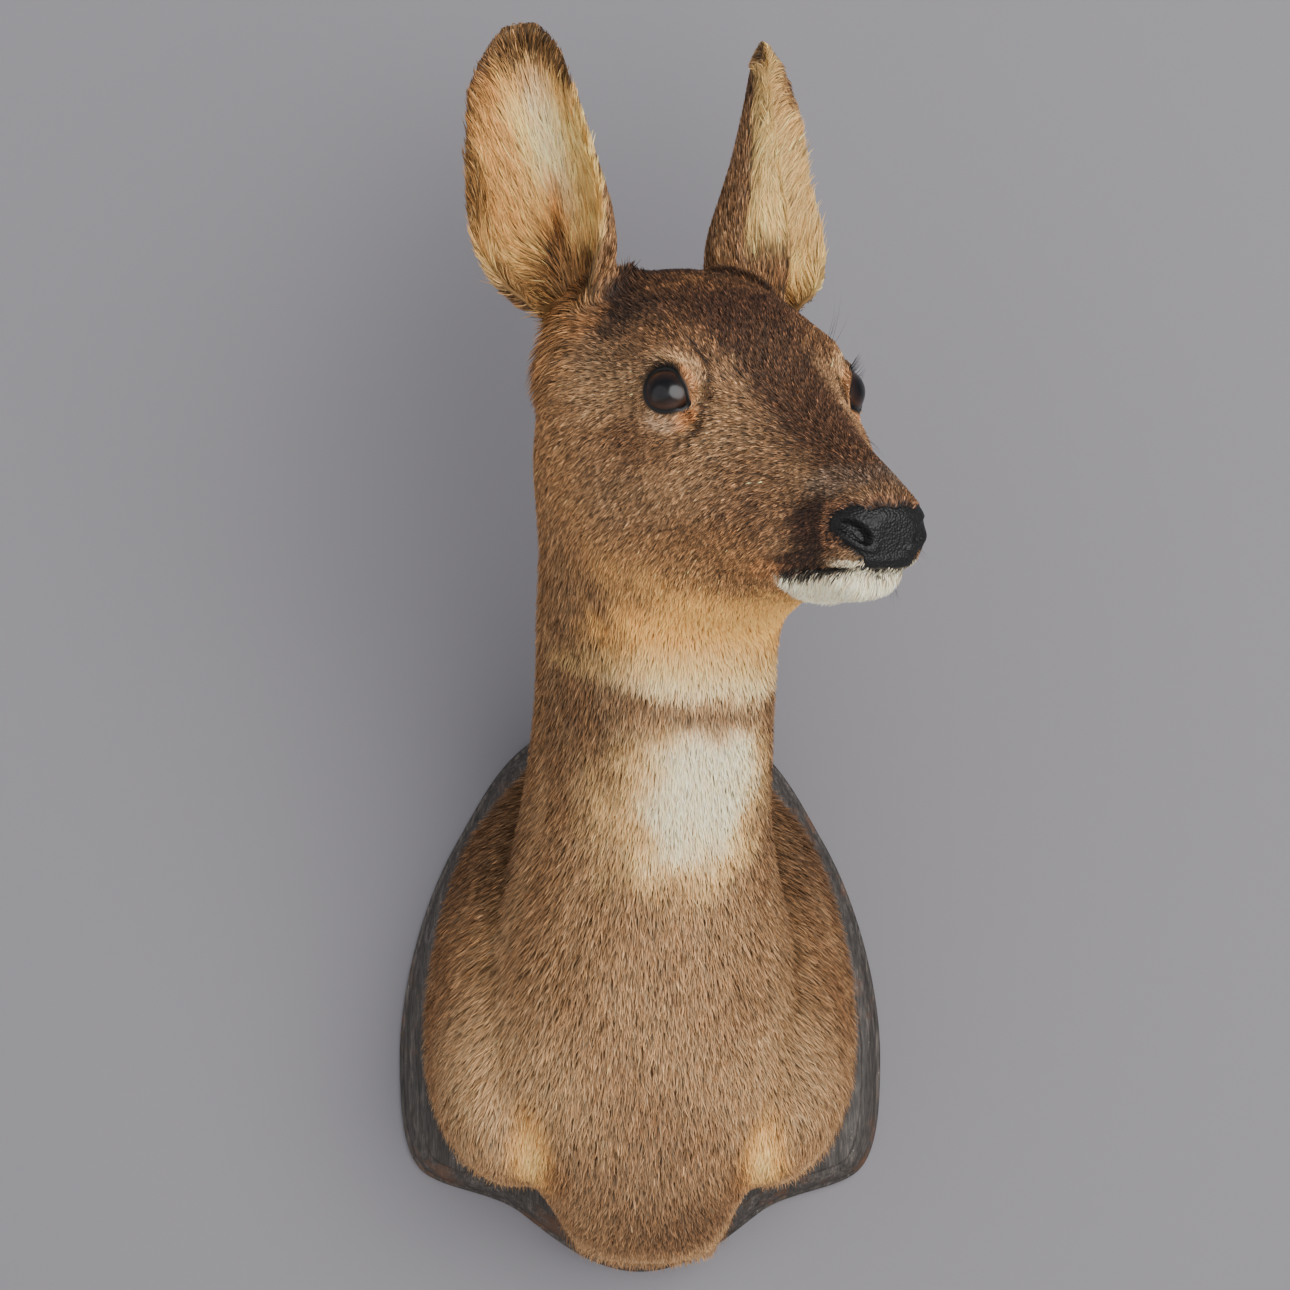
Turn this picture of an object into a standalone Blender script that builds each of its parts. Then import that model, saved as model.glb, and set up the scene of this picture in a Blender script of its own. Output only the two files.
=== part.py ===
"""Roe deer doe, a shoulder mount on a shaped wooden wall board, at life size.

Metres, +Z up. The wall is the plane y = 0 and the board's back lies in it, with
the origin at the middle of the back. The chest faces straight out along -Y, and
the neck turns so that the head looks to the animal's left, towards +X.
The animal is modelled whole, as one loft from brisket to nose with the shoulders
and ears beside it, and is then parted by thin planes where its parts are named.
"""
from math import cos, exp, pi, radians, sin

import bmesh
import bpy
import numpy as np
from mathutils import Matrix, Vector

MM = 0.001
GAP = 0.3 * MM  # between pieces that touch
CUTTER_GROWTH = 1.4 * GAP  # a little over a gap, as a faceted cutter cuts its corners

# ---- driving dimensions --------------------------------------------------------
BOARD_THICKNESS = 16.7 * MM
BOARD_HALF_WIDTH = 112.1 * MM
BOARD_TOP = 132.1 * MM
BOARD_BOTTOM = -128.3 * MM
MOULDING_WIDTH = 10.2 * MM
MOULDING_STEP = 2.3 * MM  # from the moulded edge up to the face inside it
EDGE_HEIGHT = 5 * MM  # of the straight edge below the moulding
MOULDING_LIP = 1.5 * MM
FACE_ROUNDING = 0.4 * MM

HEAD_YAW = radians(28)  # towards the animal's left
HEAD_ROLL = radians(2)  # the left side is carried higher
EYE_LINE = Vector((44, -265, 267.5)) * MM  # in the head, midway between the eyes

EYE_RADIUS = 11.3 * MM
EYE_OUT = 38.1 * MM  # from the mid plane to the centre of an eyeball
EYE_FORWARD = 4.6 * MM
EYE_UP = -2.8 * MM
SOCKET_RADIUS = EYE_RADIUS + GAP

EAR_LENGTH = 119 * MM
EAR_THICKNESS = 4 * MM
EAR_HALF_WIDTH = 27.9 * MM
EAR_BASE_HALF_WIDTH = 14.5 * MM
EAR_TIP_HALF_WIDTH = 2.5 * MM
EAR_WIDEST = 0.34  # share of the length
EAR_DEPTH = 1.24  # how much deeper than a round roll the ear is
EAR_ROLL_TIP = 1.0  # half the angle, in radians, through which the leaf is rolled
EAR_ROLL_BASE = 2.45
EAR_BASE = Vector((44.5, -70, 33.5)) * MM  # out, forward, up from the eye line
EAR_OPENING = radians(42)  # turned out from straight ahead
EARS = {
    # side, tilt outwards and backwards in degrees
    "ear_left": (1, 12.0, 12.0),
    "ear_right": (-1, 9.0, 4.0),
}

RING_SIDES = 32  # points round a section of the body
SHOULDER_SIDES = 26
RINGS_PER_SPAN = 2  # sections made for each one that the tables name
EAR_ROWS = 14
EAR_COLUMNS = 11
BOARD_STEPS = 6  # points between two knots of the board's edge
MOULDING_ARC_STEPS = 3
BODY_SQUARENESS = 2.15  # 2 is an ellipse, more is fuller at the corners
SHOULDER_SQUARENESS = 2.3

# Chest and neck, in millimetres: each row is one section, given by where its front
# and back lie (out from the wall, height), its middle, half width and turn.
TRUNK = {
    #               front          back         middle  half   turn
    #               out    up      out    up    across  width  degrees
    "brisket_tip": ((28, -120.5), (0, -120.5), 3, 8.5, 0),
    "brisket_low": ((61.5, -116), (-4.5, -118), 3, 24, 0),
    "brisket": ((93, -106), (-9.5, -109), 3, 34.5, 0),
    "brisket_high": ((123, -88.5), (-11, -91), 2, 43, 0),
    "chest_low": ((144, -61.5), (-13, -57.5), 1, 61.5, 0),
    "chest": ((156, -28), (-13, -11), 1, 72.5, 1),
    "chest_high": ((167.5, 9.5), (-9.5, 39), 1, 70.5, 4),
    "neck_root": ((181.5, 46.5), (5.5, 83.5), 2, 59.5, 9),
    "neck_low": ((197, 79), (33.5, 121), 3.5, 51, 15),
    "neck": ((215, 110.5), (68, 154.5), 5.5, 47.5, 20),
    "neck_high": ((232.5, 139.5), (101.5, 186), 6.5, 47, 25),
    "throat": ((248.5, 165.5), (131, 216.5), 8.5, 48.5, 28),
}

# Head, in millimetres from the eye line: where each section meets the jaw and the
# top of the head (forward, up), its half width, and how much wider it is above.
HEAD = {
    #             jaw            top          half   wider
    #             forward up     forward up   width  above
    "nape": ((-2, -94), (-133, -13), 53, 0.05),
    "poll_back": ((6.5, -91), (-117, 16.5), 54, 0.12),
    "poll": ((14, -89.5), (-95, 39), 54, 0.15),
    "crown": ((20.5, -88.5), (-70.5, 52), 52.5, 0.15),
    "forehead_back": ((26, -88), (-46.5, 52), 50, 0.14),
    "forehead": ((31.5, -87.5), (-24, 45.5), 48.5, 0.15),
    "brow": ((37, -87), (-3.5, 35), 46, 0.14),
    "eye_front": ((43.5, -86.5), (16, 19.5), 40, 0.08),
    "cheek_front": ((52, -86), (33.5, 4), 33.5, -0.02),
    "bridge_back": ((61.5, -85.5), (50, -8.5), 28, -0.07),
    "bridge": ((71.5, -85.5), (66, -18.5), 23.5, -0.10),
    "muzzle": ((81, -85.5), (80, -27), 21.5, -0.08),
    "muzzle_front": ((89.5, -84.5), (92, -34.5), 20, -0.04),
    "nostrils": ((96, -82), (101, -41.5), 18.5, 0.04),
    "nose_front": ((101.5, -78), (107, -47.5), 15.5, 0.08),
    "nose_tip": ((105, -73.5), (110.5, -54), 10, 0.05),
}

# Swellings and hollows of the head, both sides: where (out, forward, up), how far
# they spread (across, along, up), which way the surface moves, and how far.
FEATURES = {
    "before_the_eye": ((33.5, 28, -7.5), (15, 15, 15), (-1, 0, 0), 3.3),
    "brow": ((41, 3, 15), (12, 16, 8.5), (1, 0.3, 0.3), 3.7),
    "cheek": ((43, -5.5, -42), (18.5, 33.5, 31.5), (1, 0, 0), 2.8),
    "eye_hollow": ((45.5, 8.5, -3), (14, 14, 11), (-1, -0.3, 0), 3.3),
    "ear_root": ((43.5, -67, 28), (21.5, 25, 22.5), (1, 0, 0.6), 9.5),
    "ear_root_inner": ((32, -74, 40), (10, 17, 12), (0.5, 0, 1), 6.5),
    "below_the_ear": ((54, -62, -4), (22, 34, 30), (1, 0, 0), 4.5),
    "nostril_wing": ((16, 100.5, -57.5), (9.5, 9.5, 8.5), (1, 0.4, 0), 1.9),
    "mouth": ((19.5, 83.5, -73.5), (11, 28, 3.5), (-1, 0, 0), 1.7),
}

# Shoulder: height, outer edge, inner edge, and how far it stands out from the wall.
SHOULDER = {
    "top": (115.5, 46.5, 35.5, 22.5),
    "shoulder_blade_top": (96.5, 63, 18.5, 56),
    "shoulder_blade": (70.5, 82, 13, 78),
    "shoulder_blade_low": (37, 93.5, 11, 98.5),
    "shoulder": (0, 99.5, 13, 115.5),
    "upper_arm": (-35.5, 99, 18.5, 122),
    "upper_arm_low": (-59.5, 91, 24, 117),
    "arm_end": (-74.5, 78, 31.5, 96.5),
    "arm_tip": (-83, 65, 46.5, 52),
}

COLOURS = {
    "board": ((0.055, 0.045, 0.040), 0.55),
    "coat": ((0.30, 0.19, 0.10), 0.9),
    "face": ((0.22, 0.14, 0.08), 0.9),
    "ear": ((0.55, 0.42, 0.26), 0.9),
    "chin": ((0.75, 0.70, 0.62), 0.9),
    "nose": ((0.012, 0.012, 0.014), 0.35),
    "eye": ((0.030, 0.014, 0.008), 0.05),
}


# ---- scene and materials -------------------------------------------------------
def clear_scene():
    for thing in list(bpy.data.objects):
        bpy.data.objects.remove(thing, do_unlink=True)


def new_collection(name):
    group = bpy.data.collections.new(name)
    bpy.context.scene.collection.children.link(group)
    return group


def make_materials():
    made = {}
    for name, (colour, roughness) in COLOURS.items():
        material = bpy.data.materials.new(name)
        material.use_nodes = True
        shader = material.node_tree.nodes["Principled BSDF"]
        shader.inputs["Base Color"].default_value = (*colour, 1)
        shader.inputs["Roughness"].default_value = roughness
        shader.inputs["Metallic"].default_value = 0
        made[name] = material
    return made


def add_object(name, form, group, material):
    """Turn a bmesh into a named object and free it."""
    bmesh.ops.recalc_face_normals(form, faces=form.faces)
    mesh = bpy.data.meshes.new(name)
    form.to_mesh(mesh)
    form.free()
    mesh.materials.append(material)
    mesh.shade_smooth()
    mesh.set_sharp_from_angle(angle=radians(40))
    thing = bpy.data.objects.new(name, mesh)
    group.objects.link(thing)
    return thing


# ---- curves and lofts ----------------------------------------------------------
def smooth_rows(rows, per_span):
    """Rows between the given ones, on a Catmull-Rom curve through them."""
    rows = np.asarray(rows, float)
    padded = np.vstack([2 * rows[0] - rows[1], rows, 2 * rows[-1] - rows[-2]])
    out = []
    for i in range(1, len(padded) - 2):
        before, start, end, after = padded[i - 1 : i + 3]
        for step in range(per_span):
            t = step / per_span
            a = 2 * start
            b = (end - before) * t
            c = (2 * before - 5 * start + 4 * end - after) * t * t
            d = (3 * start - before - 3 * end + after) * t**3
            out.append((a + b + c + d) / 2)
    out.append(rows[-1])
    return np.array(out)


def section(centre, to_back, to_left, wider_back, squareness, sides):
    """One closed ring: a rounded oval through the ends of its two half axes."""
    turn = np.linspace(0, 2 * pi, sides, endpoint=False)
    power = 2 / squareness
    along = -np.sign(np.cos(turn)) * np.abs(np.cos(turn)) ** power
    across = np.sign(np.sin(turn)) * np.abs(np.sin(turn)) ** power
    across = across * (1 + wider_back * along)
    return np.asarray(centre) + np.outer(along, to_back) + np.outer(across, to_left)


def loft(rings):
    """A closed bmesh through the rings, with a point at the middle of each end."""
    form = bmesh.new()
    rows = [[form.verts.new(point) for point in ring] for ring in rings]
    for low, high in zip(rows, rows[1:]):
        for i in range(len(low)):
            j = (i + 1) % len(low)
            form.faces.new((low[i], low[j], high[j], high[i]))
    for row in (rows[0], rows[-1]):
        middle = form.verts.new(sum((v.co for v in row), Vector()) / len(row))
        for i in range(len(row)):
            form.faces.new((row[i], row[(i + 1) % len(row)], middle))
    bmesh.ops.recalc_face_normals(form, faces=form.faces)
    return form


def turned(forward, across, yaw):
    """World x and y of a place given forward and across, after a turn to the left."""
    return (
        forward * sin(yaw) + across * cos(yaw),
        -forward * cos(yaw) + across * sin(yaw),
    )


def head_place(across, forward, up):
    """A place in the head's own directions, in the world."""
    lifted = up * cos(HEAD_ROLL) + across * sin(HEAD_ROLL)
    level = across * cos(HEAD_ROLL) - up * sin(HEAD_ROLL)
    x, y = turned(forward, level, HEAD_YAW)
    return EYE_LINE + Vector((x, y, lifted))


def head_direction(across, forward, up):
    return (head_place(across, forward, up) - EYE_LINE).normalized()


# ---- the body ------------------------------------------------------------------
def body_rings():
    rows = []
    for front, back, middle, half_width, degrees in TRUNK.values():
        yaw = radians(degrees)
        centre_out = (front[0] + back[0]) / 2
        reach = (back[0] - front[0]) / 2
        x, y = turned(reach, 0, yaw)
        side_x, side_y = turned(0, half_width, yaw)
        rise = (back[1] - front[1]) / 2
        centre_up = (front[1] + back[1]) / 2
        rows.append((middle, -centre_out, centre_up, x, y, rise, side_x, side_y, 0, 0.0))
    for jaw, top, half_width, wider in HEAD.values():
        jaw_point = head_place(0, jaw[0] * MM, jaw[1] * MM) / MM
        top_point = head_place(0, top[0] * MM, top[1] * MM) / MM
        side = (head_place(half_width * MM, 0, 0) - EYE_LINE) / MM
        centre = (jaw_point + top_point) / 2
        to_back = (top_point - jaw_point) / 2
        rows.append((*centre, *to_back, *side, wider))
    rings = []
    for row in smooth_rows(rows, RINGS_PER_SPAN):
        row = row * np.array([MM] * 9 + [1])
        rings.append(
            section(row[0:3], row[3:6], row[6:9], row[9], BODY_SQUARENESS, RING_SIDES)
        )
    return rings


def bump(form, centre, radii, push):
    """Push the head near a place by a vector, fading out as a bell curve."""
    turn = Matrix.Rotation(-HEAD_YAW, 3, "Z")
    for vert in form.verts:
        away = turn @ (vert.co - centre)
        scaled = [away[i] / radii[i] for i in range(3)]
        distance = scaled[0] ** 2 + scaled[1] ** 2 + scaled[2] ** 2
        vert.co += push * exp(-distance)


def make_body():
    form = loft(body_rings())
    for place, radii, way, push in FEATURES.values():
        for side in (-1, 1):
            centre = head_place(side * place[0] * MM, place[1] * MM, place[2] * MM)
            reach = [radius * MM for radius in radii]
            direction = head_direction(side * way[0], way[1], way[2])
            bump(form, centre, reach, direction * push * MM)
    return form


def shoulder_rings(side):
    rows = [(height, outer, inner, out) for height, outer, inner, out in SHOULDER.values()]
    rings = []
    for height, outer, inner, out in smooth_rows(rows, RINGS_PER_SPAN):
        centre = Vector((side * (outer + inner) / 2, 0, height)) * MM
        to_back = Vector((0, out, 0)) * MM
        to_left = Vector((side * (outer - inner) / 2, 0, 0)) * MM
        rings.append(
            section(centre, to_back, to_left, 0, SHOULDER_SQUARENESS, SHOULDER_SIDES)
        )
    return rings


# ---- cutting -------------------------------------------------------------------
def cut_away(form, point, normal):
    """Take off what lies on the normal's side of a plane and close the cut."""
    geometry = form.verts[:] + form.edges[:] + form.faces[:]
    bmesh.ops.bisect_plane(
        form, geom=geometry, dist=1e-7, plane_co=point, plane_no=normal, clear_outer=True
    )
    rim = [edge for edge in form.edges if edge.is_boundary]
    bmesh.ops.edgeloop_fill(form, edges=rim)


def hide_as_cutter(thing):
    thing.hide_render = True
    thing.display_type = "WIRE"


def swollen(source, name, group):
    """A copy of an object a gap larger all round, to cut its neighbours with."""
    mesh = source.data.copy()
    form = bmesh.new()
    form.from_mesh(mesh)
    form.normal_update()
    moves = [vert.normal * CUTTER_GROWTH for vert in form.verts]
    for vert, move in zip(form.verts, moves):
        vert.co += move
    form.to_mesh(mesh)
    form.free()
    cutter = bpy.data.objects.new(name, mesh)
    group.objects.link(cutter)
    hide_as_cutter(cutter)
    return cutter


def subtract(target, cutter):
    modifier = target.modifiers.new("cut", "BOOLEAN")
    modifier.operation = "DIFFERENCE"
    modifier.solver = "EXACT"
    modifier.object = cutter


# ---- board ---------------------------------------------------------------------
BOARD_KNOTS = {
    # place across and up, and the direction in which the edge runs on, downwards
    "crown": ((0, BOARD_TOP), (1, 0), 41 * MM),
    "upper_side": ((85.5 * MM, 70.5 * MM), (0.50, -0.87), 31.5 * MM),
    "widest": ((BOARD_HALF_WIDTH, -28 * MM), (0.0, -1), 28 * MM),
    "lower_corner": ((99.5 * MM, -83 * MM), (-0.83, -0.56), 13 * MM),
    "ogee": ((56 * MM, -100.5 * MM), (-0.80, -0.60), 15 * MM),
    "foot": ((0, BOARD_BOTTOM), (-1, 0), 24 * MM),
}


def bezier(start, start_way, end, end_way, reach_start, reach_end, steps):
    a = np.array(start)
    b = a + np.array(start_way) * reach_start
    d = np.array(end)
    c = d - np.array(end_way) * reach_end
    t = np.linspace(0, 1, steps, endpoint=False)[:, None]
    return (1 - t) ** 3 * a + 3 * (1 - t) ** 2 * t * b + 3 * (1 - t) * t**2 * c + t**3 * d


def board_outline():
    """The whole edge, clockwise from the crown as seen from the front."""
    knots = list(BOARD_KNOTS.values())
    half = []
    for (place, way, reach), (next_place, next_way, next_reach) in zip(knots, knots[1:]):
        half.extend(bezier(place, way, next_place, next_way, reach, next_reach, BOARD_STEPS))
    half.append(np.array(knots[-1][0]))
    mirrored = [np.array((-x, z)) for x, z in half[-2:0:-1]]
    return np.array(half + mirrored)


def inset_outline(outline, inset):
    before = np.roll(outline, 1, axis=0)
    after = np.roll(outline, -1, axis=0)
    way = after - before
    way /= np.linalg.norm(way, axis=1)[:, None]
    inwards = np.stack([way[:, 1], -way[:, 0]], axis=1)
    return outline + inwards * inset


def make_board(group, material):
    outline = board_outline()
    shelf = BOARD_THICKNESS - MOULDING_STEP
    profile = [(0, 0), (0, EDGE_HEIGHT)]
    for step in range(1, MOULDING_ARC_STEPS + 1):
        angle = step / MOULDING_ARC_STEPS * pi / 2
        inset = (MOULDING_WIDTH - MOULDING_LIP) * (1 - cos(angle))
        rise = EDGE_HEIGHT + (shelf - EDGE_HEIGHT) * sin(angle)
        profile.append((inset, rise))
    profile.append((MOULDING_WIDTH - FACE_ROUNDING, shelf))
    profile.append((MOULDING_WIDTH, BOARD_THICKNESS - FACE_ROUNDING))
    profile.append((MOULDING_WIDTH + 2 * FACE_ROUNDING, BOARD_THICKNESS))
    form = bmesh.new()
    rows = []
    for inset, rise in profile:
        ring = inset_outline(outline, inset)
        rows.append([form.verts.new((x, -rise, z)) for x, z in ring])
    for low, high in zip(rows, rows[1:]):
        for i in range(len(low)):
            j = (i + 1) % len(low)
            form.faces.new((low[i], low[j], high[j], high[i]))
    form.faces.new(rows[0])
    form.faces.new(rows[-1])
    add_object("board", form, group, material)


# ---- ears ----------------------------------------------------------------------
def ear_half_width(v):
    """Half the width seen from the open side, at a share of the ear's length."""
    if v < EAR_WIDEST:
        swell = sin(v / EAR_WIDEST * pi / 2) ** 0.9
        return EAR_BASE_HALF_WIDTH + (EAR_HALF_WIDTH - EAR_BASE_HALF_WIDTH) * swell
    beyond = (v - EAR_WIDEST) / (1 - EAR_WIDEST)
    return EAR_HALF_WIDTH * (1 - beyond**2) ** 0.7


def ear_roll(v):
    """Half the angle through which the ear's leaf is rolled."""
    return EAR_ROLL_TIP + (EAR_ROLL_BASE - EAR_ROLL_TIP) * (1 - v) ** 1.7


def make_ear(name, side, splay, lean, group, material):
    form = bmesh.new()
    yaw = HEAD_YAW + side * EAR_OPENING
    base = head_place(side * EAR_BASE.x, EAR_BASE.y, EAR_BASE.z)
    up = head_direction(side * sin(radians(splay)), -sin(radians(lean)), 1)
    open_way = Vector((*turned(1, 0, yaw), 0))
    open_way = (open_way - up * open_way.dot(up)).normalized()
    across = up.cross(open_way)
    rows = []
    for i in range(EAR_ROWS):
        v = i / (EAR_ROWS - 1)
        roll = ear_roll(v)
        width = max(ear_half_width(v), EAR_TIP_HALF_WIDTH)
        radius = width / sin(min(roll, pi / 2))
        setback = radius * (1 - sin(roll) / roll)
        deeper = (EAR_DEPTH - 1) * radius * (1 - cos(roll))
        spine = base + up * EAR_LENGTH * v - open_way * (setback + deeper)
        row = []
        for j in range(EAR_COLUMNS):
            u = 2 * j / (EAR_COLUMNS - 1) - 1
            x = radius * sin(u * roll)
            z = EAR_DEPTH * radius * (1 - cos(u * roll))
            row.append(form.verts.new(spine + across * x + open_way * z))
        rows.append(row)
    for low, high in zip(rows, rows[1:]):
        for j in range(EAR_COLUMNS - 1):
            form.faces.new((low[j], low[j + 1], high[j + 1], high[j]))
    ear = add_object(name, form, group, material)
    shell = ear.modifiers.new("shell", "SOLIDIFY")
    shell.thickness = EAR_THICKNESS
    shell.offset = 0
    shell.use_even_offset = False
    return ear


# ---- parting the body ----------------------------------------------------------
def plane_in_trunk(middle, out, up, slope_degrees):
    """A plane across the trunk: its point, and a normal that leans from up to the wall."""
    slope = radians(slope_degrees)
    return Vector((middle, -out, up)) * MM, Vector((0, sin(slope), cos(slope)))


def plane_in_head(forward, up, slope_degrees):
    """A plane across the head: its point, and a normal that leans from forward to up."""
    slope = radians(slope_degrees)
    return head_place(0, forward * MM, up * MM), head_direction(0, cos(slope), sin(slope))


def flipped(plane):
    """The same plane, with its other side to be taken off."""
    return plane[0], -plane[1]


def part_off(name, body, planes, group, material):
    """The stretch of the body that is left when each plane's far side is taken off."""
    form = bmesh.new()
    form.from_mesh(body.data)
    for point, normal in planes:
        cut_away(form, point - normal * GAP / 2, normal)
    return add_object(name, form, group, material)


def add_ball(name, place, radius, group, material):
    bpy.ops.mesh.primitive_uv_sphere_add(
        segments=20, ring_count=12, radius=radius, location=place
    )
    ball = bpy.context.object
    ball.name = name
    ball.data.materials.append(material)
    ball.data.shade_smooth()
    for owner in list(ball.users_collection):
        owner.objects.unlink(ball)
    group.objects.link(ball)
    return ball


# ---- assembly ------------------------------------------------------------------
def main():
    clear_scene()
    group = new_collection("roe_deer_shoulder_mount")
    cutters = new_collection("cutters")
    paint = make_materials()
    make_board(group, paint["board"])

    wall_side = (Vector((0, -BOARD_THICKNESS - GAP, 0)), Vector((0, 1, 0)))
    form = make_body()
    cut_away(form, *wall_side)
    bmesh.ops.triangulate(form, faces=form.faces)
    body = add_object("body", form, cutters, paint["coat"])
    hide_as_cutter(body)
    fitted = swollen(body, "body_cutter", cutters)

    for name, side in (("shoulder_left", 1), ("shoulder_right", -1)):
        form = loft(shoulder_rings(side))
        cut_away(form, *wall_side)
        shoulder = add_object(name, form, group, paint["coat"])
        subtract(shoulder, fitted)

    for name, (side, splay, lean) in EARS.items():
        ear = make_ear(name, side, splay, lean, group, paint["ear"])
        subtract(ear, fitted)

    chest_top = plane_in_trunk(2, 93, 42, 12.4)
    neck_middle = plane_in_trunk(5, 149, 135, -16.7)
    neck_end = plane_in_head(-56, -67, 67.2)
    muzzle_back = plane_in_head(54, -46, 10)
    jaw_top = plane_in_head(65, -73.5, -90)
    pad_back = plane_in_head(98.5, -56, 12)
    part_off("chest", body, [chest_top], group, paint["coat"])
    part_off("neck_lower", body, [flipped(chest_top), neck_middle], group, paint["coat"])
    part_off("neck_upper", body, [flipped(neck_middle), neck_end], group, paint["coat"])
    head = part_off("head", body, [flipped(neck_end), muzzle_back], group, paint["face"])
    part_off("muzzle", body, [flipped(muzzle_back), jaw_top, pad_back], group, paint["face"])
    chin = [flipped(muzzle_back), flipped(jaw_top)]
    part_off("lower_jaw", body, chin, group, paint["chin"])
    part_off("nose_pad", body, [flipped(pad_back), jaw_top], group, paint["nose"])

    for name, side in (("eye_left", 1), ("eye_right", -1)):
        place = head_place(side * EYE_OUT, EYE_FORWARD, EYE_UP)
        add_ball(name, place, EYE_RADIUS, group, paint["eye"])
        socket = add_ball(name + "_socket", place, SOCKET_RADIUS, cutters, paint["eye"])
        hide_as_cutter(socket)
        subtract(head, socket)


main()
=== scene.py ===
# %% [markdown]
# # A roe deer doe on a wall board
#
# This script dresses a plain solid model of a shoulder mount: the head, neck and
# shoulders of a roe deer on a dark wooden board. The solids reach out to the tips of
# the coat. Inside them goes one skin with eyelids, nostrils and a mouth, and over the
# skin goes the coat, as a few hundred thousand small tufts of real mesh.
#
# The first cell loads the solids. They are the frame that everything is measured from.

# %% Load the frame
from math import atan2, cos, pi, radians, sin

import bmesh
import bpy
import numpy as np
from mathutils import Matrix, Vector
from mathutils.bvhtree import BVHTree


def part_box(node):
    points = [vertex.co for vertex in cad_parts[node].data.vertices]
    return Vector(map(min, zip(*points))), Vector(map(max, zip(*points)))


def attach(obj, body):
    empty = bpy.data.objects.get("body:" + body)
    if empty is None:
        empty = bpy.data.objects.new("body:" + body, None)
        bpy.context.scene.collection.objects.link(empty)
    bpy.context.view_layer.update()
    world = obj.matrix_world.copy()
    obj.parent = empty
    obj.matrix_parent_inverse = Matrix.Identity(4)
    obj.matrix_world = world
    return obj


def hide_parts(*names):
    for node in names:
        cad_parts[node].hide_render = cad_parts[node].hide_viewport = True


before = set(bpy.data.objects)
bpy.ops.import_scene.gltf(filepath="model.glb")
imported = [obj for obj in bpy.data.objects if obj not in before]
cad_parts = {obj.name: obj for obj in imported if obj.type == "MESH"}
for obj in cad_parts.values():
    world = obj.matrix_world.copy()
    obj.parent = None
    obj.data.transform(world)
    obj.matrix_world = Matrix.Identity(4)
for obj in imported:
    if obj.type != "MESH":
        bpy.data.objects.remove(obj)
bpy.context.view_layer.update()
MM = 0.001
ROOT = "root"
print("nodes:", ", ".join(sorted(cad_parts)))


# %% Helpers for materials, meshes and objects
def feed(tree, node, inputs):
    """Give each input its value, or link it to a socket."""
    for name, value in inputs.items():
        if isinstance(value, bpy.types.NodeSocket):
            tree.links.new(value, node.inputs[name])
        else:
            node.inputs[name].default_value = value
    return node


def put(tree, kind, inputs=None, **settings):
    """Add a shader node."""
    node = tree.nodes.new(kind)
    for name, value in settings.items():
        setattr(node, name, value)
    return feed(tree, node, inputs or {})


def put_ramp(tree, factor, *stops):
    """A colour ramp, from places and chart colours."""
    node = put(tree, "ShaderNodeValToRGB", {"Fac": factor})
    elements = node.color_ramp.elements
    for number, (at, chart) in enumerate(stops):
        stop = elements[number] if number < 2 else elements.new(at)
        stop.position = at
        stop.color = rgba(*chart)
    return node.outputs["Color"]


def new_material(name, **values):
    """A material with a Principled BSDF, whose constants are given by name."""
    material = bpy.data.materials.new(name)
    material.use_nodes = True
    shader = material.node_tree.nodes["Principled BSDF"]
    for socket, value in values.items():
        shader.inputs[socket.replace("_", " ")].default_value = value
    return material, material.node_tree, shader


def linear(red, green, blue):
    """A colour as one reads it off a paint chart, 0 to 255, as light."""
    chart = np.array([red, green, blue]) / 255
    return np.where(chart <= 0.04045, chart / 12.92, ((chart + 0.055) / 1.055) ** 2.4)


def rgba(red, green, blue):
    return (*linear(red, green, blue), 1.0)


def mesh_from(form, name):
    """Turn a bmesh into a mesh and free it."""
    mesh = bpy.data.meshes.new(name)
    form.to_mesh(mesh)
    form.free()
    return mesh


def put_in_scene(name, data):
    thing = bpy.data.objects.new(name, data)
    bpy.context.scene.collection.objects.link(thing)
    return thing


# %% [markdown]
# ## Camera, light and stage
#
# The mount hangs on a wall and is seen from straight in front, a little above its
# middle, through a long lens that doesn't stretch the muzzle. A wall behind it catches
# a soft shadow. Seen from behind, the wall lets the view through, so that the back of
# the board can be looked at as well.

# %% Camera
CAMERA_PLACE = Vector((2.3, -1860, 164.2)) * MM
VIEW_WIDTH_AT_WALL = 603.5 * MM
SENSOR = 36.0  # millimetres, as a lens is

lens = bpy.data.cameras.new("camera")
lens.sensor_width = SENSOR
lens.lens = SENSOR * -CAMERA_PLACE.y / VIEW_WIDTH_AT_WALL
lens.dof.use_dof = False
camera = put_in_scene("camera", lens)
camera.location = CAMERA_PLACE
camera.rotation_euler = (radians(90), 0, 0)
bpy.context.scene.camera = camera
print(f"lens {lens.lens:.1f} mm")


# %% Wall, floor and lights
WALL_PLACE = 0.4 * MM  # just behind the board
FLOOR_HEIGHT = -1.15
STAGE_REACH = 4.0


def stage_sheet(name, loops, material):
    """A flat sheet inside the first loop of corners, open inside the others."""
    form = bmesh.new()
    edges = []
    for corners in loops:
        ring = [form.verts.new(corner) for corner in corners]
        edges += [form.edges.new(pair) for pair in zip(ring, ring[1:] + ring[:1])]
    bmesh.ops.triangle_fill(form, edges=edges, use_beauty=True)
    outwards = [face for face in form.faces if face.normal @ Vector((0, -1, 1)) < 0]
    bmesh.ops.reverse_faces(form, faces=outwards)
    mesh = mesh_from(form, name)
    mesh.materials.append(material)
    sheet = put_in_scene(name, mesh)


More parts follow.
